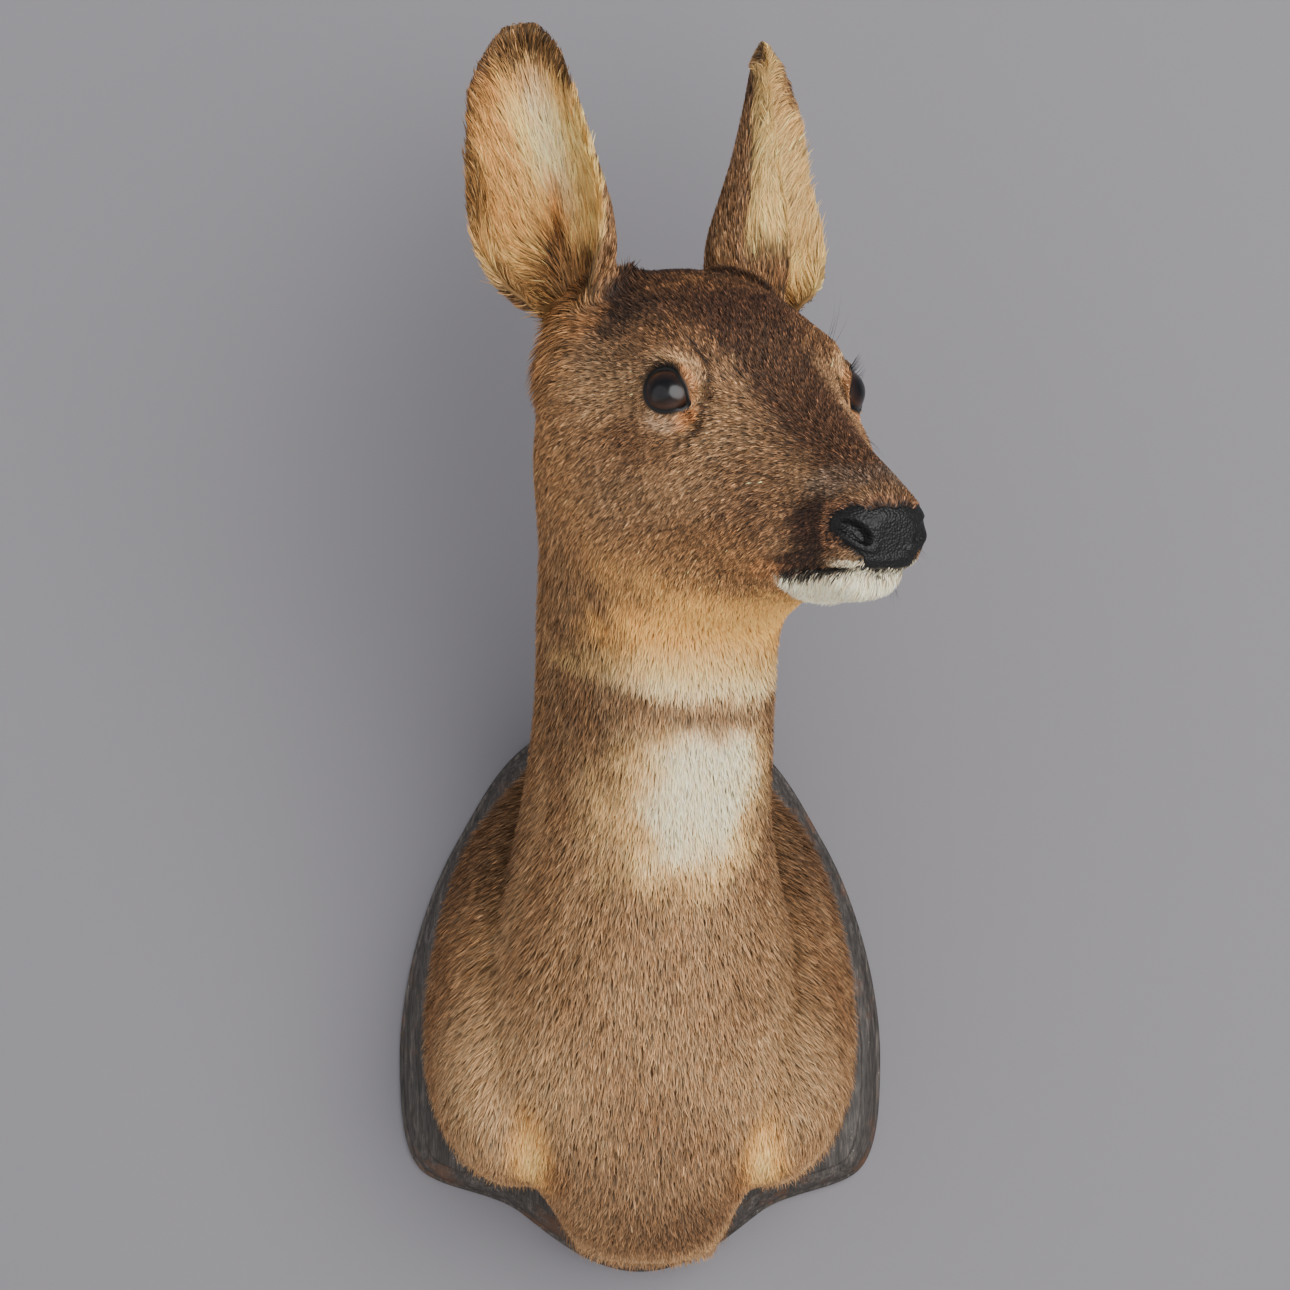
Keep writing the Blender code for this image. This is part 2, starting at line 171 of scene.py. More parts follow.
wall_paint, tree, shader = new_material("wall_paint", Base_Color=rgba(128, 126, 131), Roughness=0.9)
behind = put(tree, "ShaderNodeNewGeometry").outputs["Backfacing"]
clear = put(tree, "ShaderNodeBsdfTransparent").outputs[0]
one_way = put(tree, "ShaderNodeMixShader", {0: behind, 1: shader.outputs[0], 2: clear})
feed(tree, tree.nodes["Material Output"], {"Surface": one_way.outputs[0]})
floor_paint, *_ = new_material("floor_paint", Base_Color=rgba(205, 203, 200), Roughness=0.8)

SHEET_CORNERS = ((-1, -1), (1, -1), (1, 1), (-1, 1))
floor = [(x * STAGE_REACH, y * STAGE_REACH, FLOOR_HEIGHT) for x, y in SHEET_CORNERS]
stage_sheet("floor", [floor], floor_paint)


LIGHTS = (
    # name, place, width, watts and warmth
    ("key", (0.85, -2.1, 0.42), 2.2, 73, (1.0, 0.985, 0.965)),
    ("fill", (-1.9, -1.9, -0.3), 4.6, 44, (0.99, 0.99, 1.0)),
    ("back", (0.1, 2.2, 0.2), 1.6, 16, (1, 1, 1)),
)
LIGHTS_AIM = Vector((0, -0.15, 0.15))
ROOM_LIGHT = 0.6

for name, place, width, power, warmth in LIGHTS:
    data = bpy.data.lights.new(name, "AREA")
    data.shape = "DISK"
    data.size = width
    data.energy = power
    data.color = warmth
    lamp = put_in_scene(name, data)
    lamp.location = place
    lamp.rotation_euler = (LIGHTS_AIM - Vector(place)).to_track_quat("-Z", "Y").to_euler()

world = bpy.data.worlds.new("room")
world.use_nodes = True
background = world.node_tree.nodes["Background"]
feed(world.node_tree, background, {"Color": rgba(200, 202, 208), "Strength": ROOM_LIGHT})
bpy.context.scene.world = world
print(f"stage: floor and {len(LIGHTS)} lights")

# %% [markdown]
# ## Where things are on a head
#
# A taxidermist measures a head from its eyes, and so does this script. Places on the
# head are given in millimetres from the point midway between the eyeballs: across (to
# the animal's left), forward (to the nose) and up.


# %% The head's own directions
def middle_of(node):
    low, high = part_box(node)
    return np.array((low + high) / 2)


SIDES = (1, -1)  # the animal's left and right
EYES = {1: middle_of("eye_left"), -1: middle_of("eye_right")}
EYE_RADIUS = (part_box("eye_left")[1].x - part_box("eye_left")[0].x) / 2 / MM
BETWEEN_EYES = (EYES[1] + EYES[-1]) / 2


def unit(vectors):
    return vectors / np.maximum(np.linalg.norm(vectors, axis=-1, keepdims=True), 1e-12)


ACROSS = unit(EYES[1] - EYES[-1])
FORWARD = unit(np.cross(ACROSS, (0, 0, 1)))
UP = np.cross(FORWARD, ACROSS)
HEAD_AXES = np.array([ACROSS, FORWARD, UP])


def on_head(points):
    """Across, forward and up in millimetres, for points in the world."""
    return (np.asarray(points) - BETWEEN_EYES) @ HEAD_AXES.T / MM


def even_sides(place):
    """The same places with both sides of the head laid on each other."""
    return np.abs(place) * (1, 0, 0) + place * (0, 1, 1)


def head_place(across, forward, up):
    return BETWEEN_EYES + (np.array([across, forward, up]) @ HEAD_AXES) * MM


def head_way(across, forward, up):
    return unit(np.array([across, forward, up], float) @ HEAD_AXES)


def soft_step(low, high, x):
    """0 below low, 1 above high, and a smooth rise between. low may be the larger."""
    t = np.clip((x - low) / (high - low), 0, 1)
    return t * t * (3 - 2 * t)


def near(points, centre, radii, softness=0.5):
    """1 inside an ellipsoid, 0 outside, fading over a band about its surface."""
    away = np.sqrt((((points - np.array(centre)) / np.array(radii)) ** 2).sum(axis=-1))
    return soft_step(1 + softness, 1 - softness, away)


print(f"eyes {2 * EYE_RADIUS:.1f} mm across; forward is {FORWARD.round(3)}")

# %% The ears' own directions
EAR_LENGTH = 119.0
EAR_BASE = np.array((44.5, -74.6, 36.3))
EAR_OPENING = radians(42)
EAR_TILTS = {1: (12, 12), -1: (9, 4)}  # outwards and backwards, in degrees


def ear_directions(side):
    """Base, way up the ear, way that it opens, and way to its outer edge, in the world."""
    splay, lean = EAR_TILTS[side]
    base = head_place(side * EAR_BASE[0], EAR_BASE[1], EAR_BASE[2])
    rise = head_way(side * sin(radians(splay)), -sin(radians(lean)), 1)
    opening = head_way(side * sin(EAR_OPENING), cos(EAR_OPENING), 0)
    opening = unit(opening - rise * (opening @ rise))
    sideways = np.cross(rise, opening)
    return base, rise, opening, sideways * np.sign(sideways @ ACROSS) * side


EARS = {side: ear_directions(side) for side in SIDES}
print("ears lean outwards by", [splay for splay, _ in EAR_TILTS.values()], "degrees")

# %% [markdown]
# ## The skin
#
# On the real mount one tanned skin is drawn over a carved form. Here the flesh solids
# are copied, grown by a hair so that they overlap, and fused by a voxel remesh, which
# leaves no seam. The creases of the neck are filled, the form is smoothed and the tips
# of the ears are drawn out a little. Then it is drawn in by the coat's depth, so that
# the tufts have room to lie between the skin and the outline.

# %% Fuse the flesh solids
FLESH = [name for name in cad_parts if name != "board"]
GROW = 0.25 * MM
VOXEL = 2.36 * MM


def grow(form, reach):
    """Move every point outwards along its normal."""
    moves = [vert.normal * reach for vert in form.verts]
    for vert, move in zip(form.verts, moves):
        vert.co += move


def flesh_form():
    form = bmesh.new()
    for name in FLESH:
        part = bmesh.new()
        part.from_mesh(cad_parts[name].data)
        bmesh.ops.remove_doubles(part, verts=part.verts, dist=0.001 * MM)
        part.normal_update()
        grow(part, GROW)
        mesh = mesh_from(part, "part")
        form.from_mesh(mesh)
        bpy.data.meshes.remove(mesh)
    return form


def evaluated_mesh(thing):
    graph = bpy.context.evaluated_depsgraph_get()
    return bpy.data.meshes.new_from_object(thing.evaluated_get(graph), depsgraph=graph)


def keep_largest(form):
    """Delete all but the largest connected piece."""
    form.verts.ensure_lookup_table()
    seen = set()
    islands = []
    for start in form.verts:
        if start in seen:
            continue
        island = [start]
        seen.add(start)
        for vert in island:
            for edge in vert.link_edges:
                other = edge.other_vert(vert)
                if other not in seen:
                    seen.add(other)
                    island.append(other)
        islands.append(island)
    islands.sort(key=len)
    for island in islands[:-1]:
        bmesh.ops.delete(form, geom=island, context="VERTS")


fused = put_in_scene("fused", mesh_from(flesh_form(), "fused"))
remesh = fused.modifiers.new("remesh", "REMESH")
remesh.mode = "VOXEL"
remesh.voxel_size = VOXEL
skin_mesh = evaluated_mesh(fused)
bpy.data.objects.remove(fused)
form = bmesh.new()
form.from_mesh(skin_mesh)
keep_largest(form)
print(f"fused form: {len(form.verts)} points")


# %% Smooth it and draw it in
def read(items, name, width, kind=float):
    """One value of all of a mesh's points, edges, faces or corners, a row for each."""
    flat = np.empty(len(items) * width, kind)
    items.foreach_get(name, flat)
    return flat.reshape(-1, width)


def points_of(mesh):
    return read(mesh.vertices, "co", 3)


def normals_of(mesh):
    return read(mesh.vertex_normals, "vector", 3)


def edges_of(mesh):
    return read(mesh.edges, "vertices", 2, int)


def set_points(mesh, points):
    mesh.vertices.foreach_set("co", points.ravel())
    mesh.update()


def neighbour_mean(values, edges):
    """For each point, the mean of its neighbours' values."""
    count = len(values)
    valence = np.bincount(edges.ravel(), minlength=count)[:, None]
    total = np.empty_like(values)
    for column in range(values.shape[1]):
        one = np.bincount(edges[:, 0], values[edges[:, 1], column], count)
        two = np.bincount(edges[:, 1], values[edges[:, 0], column], count)
        total[:, column] = one + two
    return total / np.maximum(valence, 1)


def relax(points, edges, rounds, share=None):
    """Smooth a surface without shrinking it: a step in, then a slightly larger step out."""
    share = 1 if share is None else share[:, None]
    for _ in range(rounds):
        points = points + 0.5 * share * (neighbour_mean(points, edges) - points)
        points = points - 0.52 * share * (neighbour_mean(points, edges) - points)
    return points


def tree_of(mesh):
    """The mesh's faces, in a tree in which the nearest place is found fast."""
    return BVHTree.FromPolygons([v.co for v in mesh.vertices], [p.vertices for p in mesh.polygons])


def distance_to(points, node):
    """Distance in millimetres from each point to a solid's surface."""
    tree = tree_of(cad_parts[node].data)
    return np.array([tree.find_nearest(point)[3] for point in points]) / MM


NECK_END = (-60.6, -64.2, radians(67.2))  # forward, up, slope of the plane below the head
HEAD_FADE = (-14, 26)  # millimetres beyond that plane over which the head begins
EAR_FADE = (6, 1)  # millimetres from the ear's solid over which the ear begins
BELOW_EAR = -12  # no ear is looked for further below its base than this


def head_share(points):
    """1 on the head, 0 on the neck."""
    place = on_head(points)
    forward, up, slope = NECK_END
    beyond = (place[:, 1] - forward) * cos(slope) + (place[:, 2] - up) * sin(slope)
    return soft_step(*HEAD_FADE, beyond)


def ear_share(points):
    """1 on the ears, 0 on the head."""
    share = np.zeros(len(points))
    for side, node in ((1, "ear_left"), (-1, "ear_right")):
        base, rise, *_ = EARS[side]
        height = (points - base) @ rise / MM
        close = np.flatnonzero(height > BELOW_EAR)
        reach = distance_to(points[close], node)
        share[close] = np.maximum(share[close], soft_step(*EAR_FADE, reach))
    return share


COAT_DEPTH = {"muzzle": 0.9, "face": 1.6, "crown": 2.6, "neck": 3.8, "chest": 4.4, "ear": 0.9}


def coat_depth(points, head, ear):
    place = on_head(points)
    face = soft_step(-75, -10, place[:, 1])
    muzzle = soft_step(45, 85, place[:, 1])
    on_the_head = COAT_DEPTH["crown"] + face * (COAT_DEPTH["face"] - COAT_DEPTH["crown"])
    on_the_head += muzzle * (COAT_DEPTH["muzzle"] - COAT_DEPTH["face"])
    low = soft_step(0.11, 0.03, points[:, 2])
    below = COAT_DEPTH["neck"] + low * (COAT_DEPTH["chest"] - COAT_DEPTH["neck"])
    depth = below + head * (on_the_head - below)
    return depth + ear * (COAT_DEPTH["ear"] - depth)


def ear_place(points, side):
    """Share of the ear's length, and place across it and out of it, in millimetres."""
    base, rise, opening, outer = EARS[side]
    away = (points - base) / MM
    return away @ rise / EAR_LENGTH, away @ outer, away @ opening


LOBE_RISE = 5  # how far the low outer corner is drawn up, in millimetres
TIP_FILL = {1: 0.15, -1: 0.12}  # how much wider the upper half of each ear gets
TIP_PLACES = (0.6, 0.88, 1.0)  # shares of the ear's length
TIP_RISE = {1: (0.0, 0.055, 0.035), -1: (0.0, 0.035, 0.022)}  # how far it is drawn out there
TIP_LEAN = {1: 4, -1: -3}  # how far its edge there moves outwards, in millimetres
TIP_BROAD = {1: 2.8, -1: 2.0}  # how far both edges of the tip are moved apart


def shape_ears(points, ear):
    """Draw up the low outer corner of each ear, which hair hides, and fill out its tip."""
    for side in SIDES:
        height, beside, _ = ear_place(points, side)
        mine = ear * (np.sign(on_head(points)[:, 0]) == side)
        low = soft_step(0.2, 0.0, height) * soft_step(2, 14, beside) * (height > -0.3) * mine
        if side == 1:
            lean = soft_step(0.5, 0.85, height) * soft_step(-6, 3, beside)
        else:
            lean = soft_step(0.75, 1.0, height)
        apart = soft_step(0.72, 0.94, height) * np.clip(beside / 3, -1, 1)
        fuller = TIP_FILL[side] * soft_step(0.5, 0.88, height) * mine * beside
        fuller += TIP_LEAN[side] * lean * mine
        fuller += TIP_BROAD[side] * apart * mine
        up = LOBE_RISE * low + np.interp(height, TIP_PLACES, TIP_RISE[side]) * mine * EAR_LENGTH
        _, rise, _, outer = EARS[side]
        points = points + np.outer(up * MM, rise) + np.outer(fuller * MM, outer)
    return points


def fill_creases(mesh, rounds, most):
    """Raise the hollows of the neck and body, and leave all that stands out as it is."""
    points = points_of(mesh)
    normals = normals_of(mesh)
    rise = ((relax(points, edges_of(mesh), rounds) - points) * normals).sum(axis=1)
    body = (1 - head_share(points)) * (1 - ear_share(points))
    body = body * soft_step(-20 * MM, -34 * MM, points[:, 1])
    return points + normals * (np.clip(rise, 0, most) * body)[:, None]


CREASE_PASSES = 3
CREASE_ROUNDS = 120
CREASE_MOST = 8 * MM  # in one pass
SKIN_ROUNDS = 5

form.to_mesh(skin_mesh)
form.free()
for _ in range(CREASE_PASSES):
    set_points(skin_mesh, fill_creases(skin_mesh, CREASE_ROUNDS, CREASE_MOST))
points = relax(points_of(skin_mesh), edges_of(skin_mesh), SKIN_ROUNDS)
set_points(skin_mesh, points)
head = head_share(points)
ear = ear_share(points)
points = shape_ears(points, ear)
set_points(skin_mesh, points)
depth = coat_depth(points, head, ear) + GROW / MM
points = points - normals_of(skin_mesh) * depth[:, None] * MM
points = relax(points, edges_of(skin_mesh), 3, 1 - ear * 0.5)
set_points(skin_mesh, points)
print(f"skin drawn in by {depth.min():.1f} to {depth.max():.1f} mm")

# %% [markdown]
# ## Eyelids, nose and mouth
#
# The remesh is too coarse for a face, so its faces are divided again round the eyes,
# the nose and the mouth. Then the surface is moved by simple rules: a groove for the
# fold before each eye, a hollow for each nostril, a line for the mouth.


# %% Finer faces where the head needs them
EYE_PATCH = 24 * MM


def refine(mesh, chosen):
    """Divide the chosen faces once. chosen takes face middles and gives true or false."""
    form = bmesh.new()
    form.from_mesh(mesh)
    middles = np.array([face.calc_center_median() for face in form.faces])
    wanted = chosen(middles)
    form.faces.ensure_lookup_table()
    edges = {edge for index in np.flatnonzero(wanted) for edge in form.faces[index].edges}
    bmesh.ops.subdivide_edges(form, edges=list(edges), cuts=1, use_grid_fill=True)
    form.to_mesh(mesh)
    form.free()


def round_the_features(middles):
    place = on_head(middles)
    wanted = (place[:, 1] > 46) & (place[:, 2] < -28)
    for centre in EYES.values():
        wanted |= np.linalg.norm(middles - centre, axis=1) < EYE_PATCH
    return wanted


def round_the_nose(middles):
    place = on_head(middles)
    return (place[:, 1] > 84) & (place[:, 2] < -42) & (place[:, 2] > -80)


refine(skin_mesh, round_the_features)
refine(skin_mesh, round_the_nose)
points = points_of(skin_mesh)
place = on_head(points)
fresh = soft_step(40, 50, place[:, 1])
for centre in EYES.values():
    fresh = np.maximum(fresh, soft_step(30, 24, np.linalg.norm(points - centre, axis=1) / MM))
points = relax(points, edges_of(skin_mesh), 3, fresh)
set_points(skin_mesh, points)
print(f"skin: {len(points)} points")

# %% The eye's opening
GAZE = {side: head_way(side * sin(radians(43)), cos(radians(43)), 0.17) for side in SIDES}
OPENING = 8.35  # radius of the opening between the lids
CORNER_WAY = radians(-28)  # from straight forward, below
OPENING_BENDS = (
    # how much further it reaches, round which turn, over what width
    (1.45, CORNER_WAY, radians(17)),
    (-1.6, radians(42), radians(34)),
    (0.5, radians(135), radians(32)),
)


def eye_axes(side):
    """The gaze, and the ways forward and up at right angles to it."""
    gaze = GAZE[side]
    ahead = unit(FORWARD - gaze * (FORWARD @ gaze))
    above = np.cross(gaze, ahead) * side
    return gaze, ahead, above * np.sign(above[2])


EYE_AXES = {side: eye_axes(side) for side in SIDES}


def eye_polar(points, side):
    """Distance from the opening's edge along the ball, turn about the gaze, and radius."""
    gaze, ahead, above = EYE_AXES[side]
    away = (points - EYES[side]) / MM
    radius = np.linalg.norm(away, axis=1)
    way = away / np.maximum(radius, 1e-9)[:, None]
    turn = np.arctan2(way @ above, way @ ahead)
    angle = np.arccos(np.clip(way @ gaze, -1, 1))
    return (angle - opening_angle(turn)) * EYE_RADIUS, turn, radius


def opening_angle(turn):
    reach = OPENING
    for further, way, width in OPENING_BENDS:
        beside = (turn - way + pi) % (2 * pi) - pi
        reach = reach + further * np.exp(-((beside / width) ** 2))
    return np.arcsin(np.clip(reach / EYE_RADIUS, -1, 0.97))


def eye_direction(side, turn, angle):
    """Unit vector from the eye's centre, for a turn about the gaze and an angle from it."""
    gaze, ahead, above = EYE_AXES[side]
    return gaze * cos(angle) + (ahead * cos(turn) + above * sin(turn)) * sin(angle)


FOLD_LINE = ((-66, -36, -10, 15, 65, 88), (24.0, 21.6, 17.2, 16.4, 18.9, 21.5))


def eye_rings(points, side):
    """Distance from the eye's middle as it faces us, and turn in degrees from forward."""
    flat = (points - EYES[side]) / MM
    near_ball = np.linalg.norm(flat, axis=1) < 34
    flat = flat - np.outer(flat @ GAZE[side], GAZE[side])
    ring = np.linalg.norm(flat, axis=1)
    _, turn, _ = eye_polar(points, side)
    return np.where(near_ball, ring, 99), np.degrees(turn)


def fold_share(points, side, width):
    """1 along the fold of skin before and below the eye, and how far beyond it is."""
    ring, turn = eye_rings(points, side)
    beyond = ring - np.interp(turn, *FOLD_LINE)
    along = soft_step(-66, -45, turn) * soft_step(88, 66, turn) * (ring < 40)
    return along * np.exp(-((beyond / width) ** 2)), beyond, along


# %% [markdown]
# Each pair of lids is a ring of loops. The inner loops wrap over the glass ball, and
# the outer ones run out on to the skin and dip just under it. The ring becomes part of
# the skin's own mesh, and the skin below it is pressed back.

# %% Model the lids
LID_LOOPS = (
    # from the opening's edge, height above the ball, share of the skin's own height
    (-1.3, -0.7, 0.0),
    (-0.35, -0.1, 0.0),
    (-0.05, 0.35, 0.0),
    (0.25, 0.65, 0.0),
    (0.7, 0.8, 0.0),
    (1.3, 0.85, 0.06),
    (2.2, 0.9, 0.25),
    (3.2, 0.8, 0.5),
    (4.3, 0.6, 0.75),
    (5.5, 0.3, 0.92),
    (6.7, 0.12, 1.0),
    (7.8, -0.5, 1.0),
)
LID_STEPS = 96
LEAST_SKIN = 0.4  # height of the skin above the ball, at least
UPPER_LID = 0.7  # how much thicker the upper lid is


def bridge(form, rows):
    """Faces between closed loops of points, one after another."""
    for inner, outer in zip(rows, rows[1:]):
        for step in range(len(inner)):
            after = (step + 1) % len(inner)
            form.faces.new((inner[step], inner[after], outer[after], outer[step]))


def model_lids(side, tree):
    form = bmesh.new()
    rows = []
    for from_edge, height, share in LID_LOOPS:
        row = []
        for step in range(LID_STEPS):
            turn = 2 * pi * step / LID_STEPS
            angle = float(opening_angle(turn)) + from_edge / EYE_RADIUS
            way = eye_direction(side, turn, angle)
            hit = tree.ray_cast(Vector(EYES[side]), Vector(way))
            skin_radius = hit[3] / MM if hit[0] is not None else EYE_RADIUS
            skin_radius = max(skin_radius, EYE_RADIUS + LEAST_SKIN)
            heavy = UPPER_LID * max(0.0, sin(turn + 0.5)) * soft_step(0.0, 1.2, from_edge)
            on_ball = EYE_RADIUS + height + heavy * (1 - share)
            radius = on_ball + share * (skin_radius + height - on_ball)
            row.append(form.verts.new(EYES[side] + way * radius * MM))
        rows.append(row)
    bridge(form, rows)
    bmesh.ops.recalc_face_normals(form, faces=form.faces)
    eye = Vector(EYES[side])
    outward = sum(face.normal.dot(face.calc_center_median() - eye) for face in form.faces)
    if outward < 0:
        bmesh.ops.reverse_faces(form, faces=form.faces)
    return form


closed_skin = tree_of(skin_mesh)
lid_forms = {side: model_lids(side, closed_skin) for side in SIDES}
print(f"lids: {sum(len(form.faces) for form in lid_forms.values())} faces")

# %% Press the skin back below the lids
BELOW_LID = 0.9  # millimetres from the lids down to the skin under them
BALL_DEPTH = 2.2  # millimetres from the ball's surface in to the skin behind it

points = points_of(skin_mesh)
normals = normals_of(skin_mesh)
loops = np.array(LID_LOOPS)
for side in SIDES:
    from_edge, _, radius = eye_polar(points, side)
    close = (radius < 26) * (radius > EYE_RADIUS - 4)
    height, share = (np.interp(from_edge, loops[:, 0], loops[:, column]) for column in (1, 2))
    lid_radius = EYE_RADIUS + height + share * (radius - EYE_RADIUS)
    pressed = soft_step(7.6, 6.0, from_edge) * close
    below_lid = np.minimum(radius, lid_radius) - BELOW_LID
    inwards = (below_lid - radius) / np.maximum(radius, 1) * pressed
    points += inwards[:, None] * (points - EYES[side])
    open_way = soft_step(2.2, 0.8, from_edge) * close
    behind_ball = ((EYE_RADIUS - BALL_DEPTH) / np.maximum(radius, 1e-6))[:, None]
    target = EYES[side] + (points - EYES[side]) * behind_ball
    points += (target - points) * open_way[:, None]
print("skin pressed back below the lids")

# %% Nostrils, lip and mouth
NOSTRIL = {"centre": (14.2, -57.2), "way": radians(-43), "length": 7.2, "width": 3.1}
NOSTRIL_DEPTHS = {1: 2.0, -1: 4.8}  # on each side of the head
CHIN_DRAW = 6.4  # how far the chin is drawn back
LIP_SWELL = 0.5
MOUTH_HEIGHT = -70.6
MOUTH_CORNER = 54.0
MOUTH_DEPTH = 2.6


def nostril_place(place):
    """Along and across the nostril's long axis, for places on the head."""
    across = np.abs(place[:, 0]) - NOSTRIL["centre"][0]
    up = place[:, 2] - NOSTRIL["centre"][1]
    way = NOSTRIL["way"]
    along = -across * cos(way) + up * sin(way)
    beside = -across * -sin(way) + up * cos(way)
    return along, beside


def mouth_share(place):
    """1 along the slit between the lips."""
    line = MOUTH_HEIGHT - 0.8 * soft_step(75, 100, place[:, 1])
    level = np.exp(-(((place[:, 2] - line) / 0.75) ** 2))
    return level * soft_step(MOUTH_CORNER, MOUTH_CORNER + 6, place[:, 1])


place = on_head(points)
along, beside = nostril_place(place)
ahead = soft_step(86, 91, place[:, 1])
oval = np.sqrt((along / NOSTRIL["length"]) ** 2 + (beside / NOSTRIL["width"]) ** 2)
recess = NOSTRIL_DEPTHS[-1] * soft_step(8, -8, place[:, 0])
recess = recess + NOSTRIL_DEPTHS[1] * soft_step(-8, 8, place[:, 0])
# each nostril is a slanting oval hollow, with a wing that reaches into it and a raised rim
hollow = soft_step(1.08, 0.62, oval) * ahead
wing = soft_step(-0.2, 1.0, -beside / NOSTRIL["width"]) * soft_step(1.1, 0.5, oval) * ahead
rim = np.exp(-(((oval - 1.32) / 0.22) ** 2)) * ahead * soft_step(2.5, -1.5, beside)
inward = head_way(0, -1, -0.1)
points += np.outer(hollow * recess * (1 - 0.62 * wing) * MM, inward)
points += normals * (rim * 0.7 * MM)[:, None]
# the chin is shorter than the nose, and the lips meet in a thin slit
short_chin = soft_step(80, 96, place[:, 1]) * soft_step(-70.8, -73, place[:, 2])
points -= np.outer(short_chin * CHIN_DRAW * MM, FORWARD)
slit = mouth_share(place) * soft_step(100, 84, place[:, 1])
points -= normals * (slit * MOUTH_DEPTH * MM)[:, None]
lips = np.exp(-(((place[:, 2] - MOUTH_HEIGHT - 2.6) / 1.6) ** 2)) * soft_step(60, 80, place[:, 1])
points += normals * (lips * LIP_SWELL * MM)[:, None]
set_points(skin_mesh, points)
print("nostrils, lips and mouth shaped")

# %% Join the lids to the skin, and fold it before the eyes
FOLD_DEPTH = 2.1
FOLD_SWELL = 0.8

form = bmesh.new()
form.from_mesh(skin_mesh)
skin_count = len(form.verts)
for side in SIDES:
    ring = mesh_from(lid_forms[side], "ring")
    form.from_mesh(ring)
    bpy.data.meshes.remove(ring)
bmesh.ops.triangulate(form, faces=form.faces)
form.to_mesh(skin_mesh)
form.free()
points = points_of(skin_mesh)
normals = normals_of(skin_mesh)
for side in SIDES:
    groove, beyond, along = fold_share(points, side, 1.2)
    swell = along * np.exp(-(((beyond + 3.2) / 2.0) ** 2))
    points += normals * ((FOLD_SWELL * swell - FOLD_DEPTH * groove) * MM)[:, None]
set_points(skin_mesh, points)
skin_mesh.name = "skin"
skin = put_in_scene("skin", skin_mesh)
skin_mesh.shade_smooth()
print(f"skin with lids: {len(skin_mesh.vertices)} points, {len(skin_mesh.polygons)} triangles")

# %% Unwrap the skin
bpy.context.view_layer.objects.active = skin
skin.select_set(True)
skin_mesh.uv_layers.new(name="OFBake")
bpy.ops.object.mode_set(mode="EDIT")
bpy.ops.mesh.select_all(action="SELECT")
bpy.ops.uv.smart_project(angle_limit=radians(66), island_margin=0.003)
bpy.ops.object.mode_set(mode="OBJECT")
skin.select_set(False)
print("skin unwrapped")

# %% [markdown]
# ## Markings, with painted light and shade
#
# A roe deer's coat is ticked: each hair is dark at its root and sandy near its tip, so
# the eye sees brown with a fine sparkle. Over that lie the markings: a dark forehead
# and bridge, a cream crescent over the eye, a white chin, an ochre throat and a white
# bib. With them goes some painted light and shade: lighter fronts of the shoulders, a
# darker brisket, a painted shadow in the fold before each eye, a painted highlight
# down each ear and painted shade in the hollow at the foot of its slit. One function
# paints them all, for the skin and for each tuft, from the place on the head or neck.

# %% Named colours
PAINT = {
    "coat": (150, 113, 77),
    "coat_warm": (148, 109, 70),
    "coat_dark": (102, 74, 50),
    "coat_light": (188, 152, 109),
    "rust": (114, 79, 49),
    "face": (120, 87, 58),
    "forehead": (60, 38, 25),
    "crown": (44, 30, 21),
    "ginger": (132, 91, 56),
    "tawny": (148, 107, 67),
    "cream": (252, 208, 136),
    "brow": (206, 164, 118),
    "pale": (184, 152, 122),
    "ochre": (244, 182, 100),
    "white": (255, 238, 204),
    "grey": (112, 96, 82),
    "muzzle": (42, 25, 17),
    "orange": (190, 120, 68),
    "border": (112, 78, 54),
    "black": (20, 20, 22),
    "lid": (9, 8, 8),
    "ear_inside": (252, 214, 136),
    "ear_ochre": (200, 140, 76),
    # painted shade for the deep hollow at the foot of the ear's slit
    "ear_hollow_shade": (66, 41, 24),
    "ear_back": (138, 103, 71),
    "ear_rim": (64, 44, 30),
}
PAINT = {name: linear(*chart) for name, chart in PAINT.items()}
print(f"{len(PAINT)} paints")


def wander(points, size, seed):
    """A smooth, repeatable unevenness between about -1 and 1, of a given size in metres."""
    random = np.random.default_rng(seed)
    total = np.zeros(len(points))
    for _ in range(6):
        wave = unit(random.normal(size=3)) * 2 * pi / size * random.uniform(0.6, 1.6)
        total += np.sin(points @ wave + random.uniform(0, 2 * pi))
    return total / 3


def lay(colour, name, share):
    """Paint a named colour over another, by a share from 0 to 1."""
    return colour + np.clip(share, 0, 1)[:, None] * (PAINT[name] - colour)


def daub(colour, places, spots):
    """Lay soft-edged spots, each given by its paint, share, centre, radii and softness."""
    for name, share, centre, radii, softness in spots:
        colour = lay(colour, name, share * near(places, centre, radii, softness))
    return colour


def neck_turn(points, normals):
    """Degrees round the neck from its front, which itself turns with the head."""
    yaw = np.interp(points[:, 2] / MM, [0, 65, 104, 130, 158, 190], [2, 12, 18, 23, 26, 28])
    return np.degrees(np.arctan2(normals[:, 0], -normals[:, 1])) - yaw


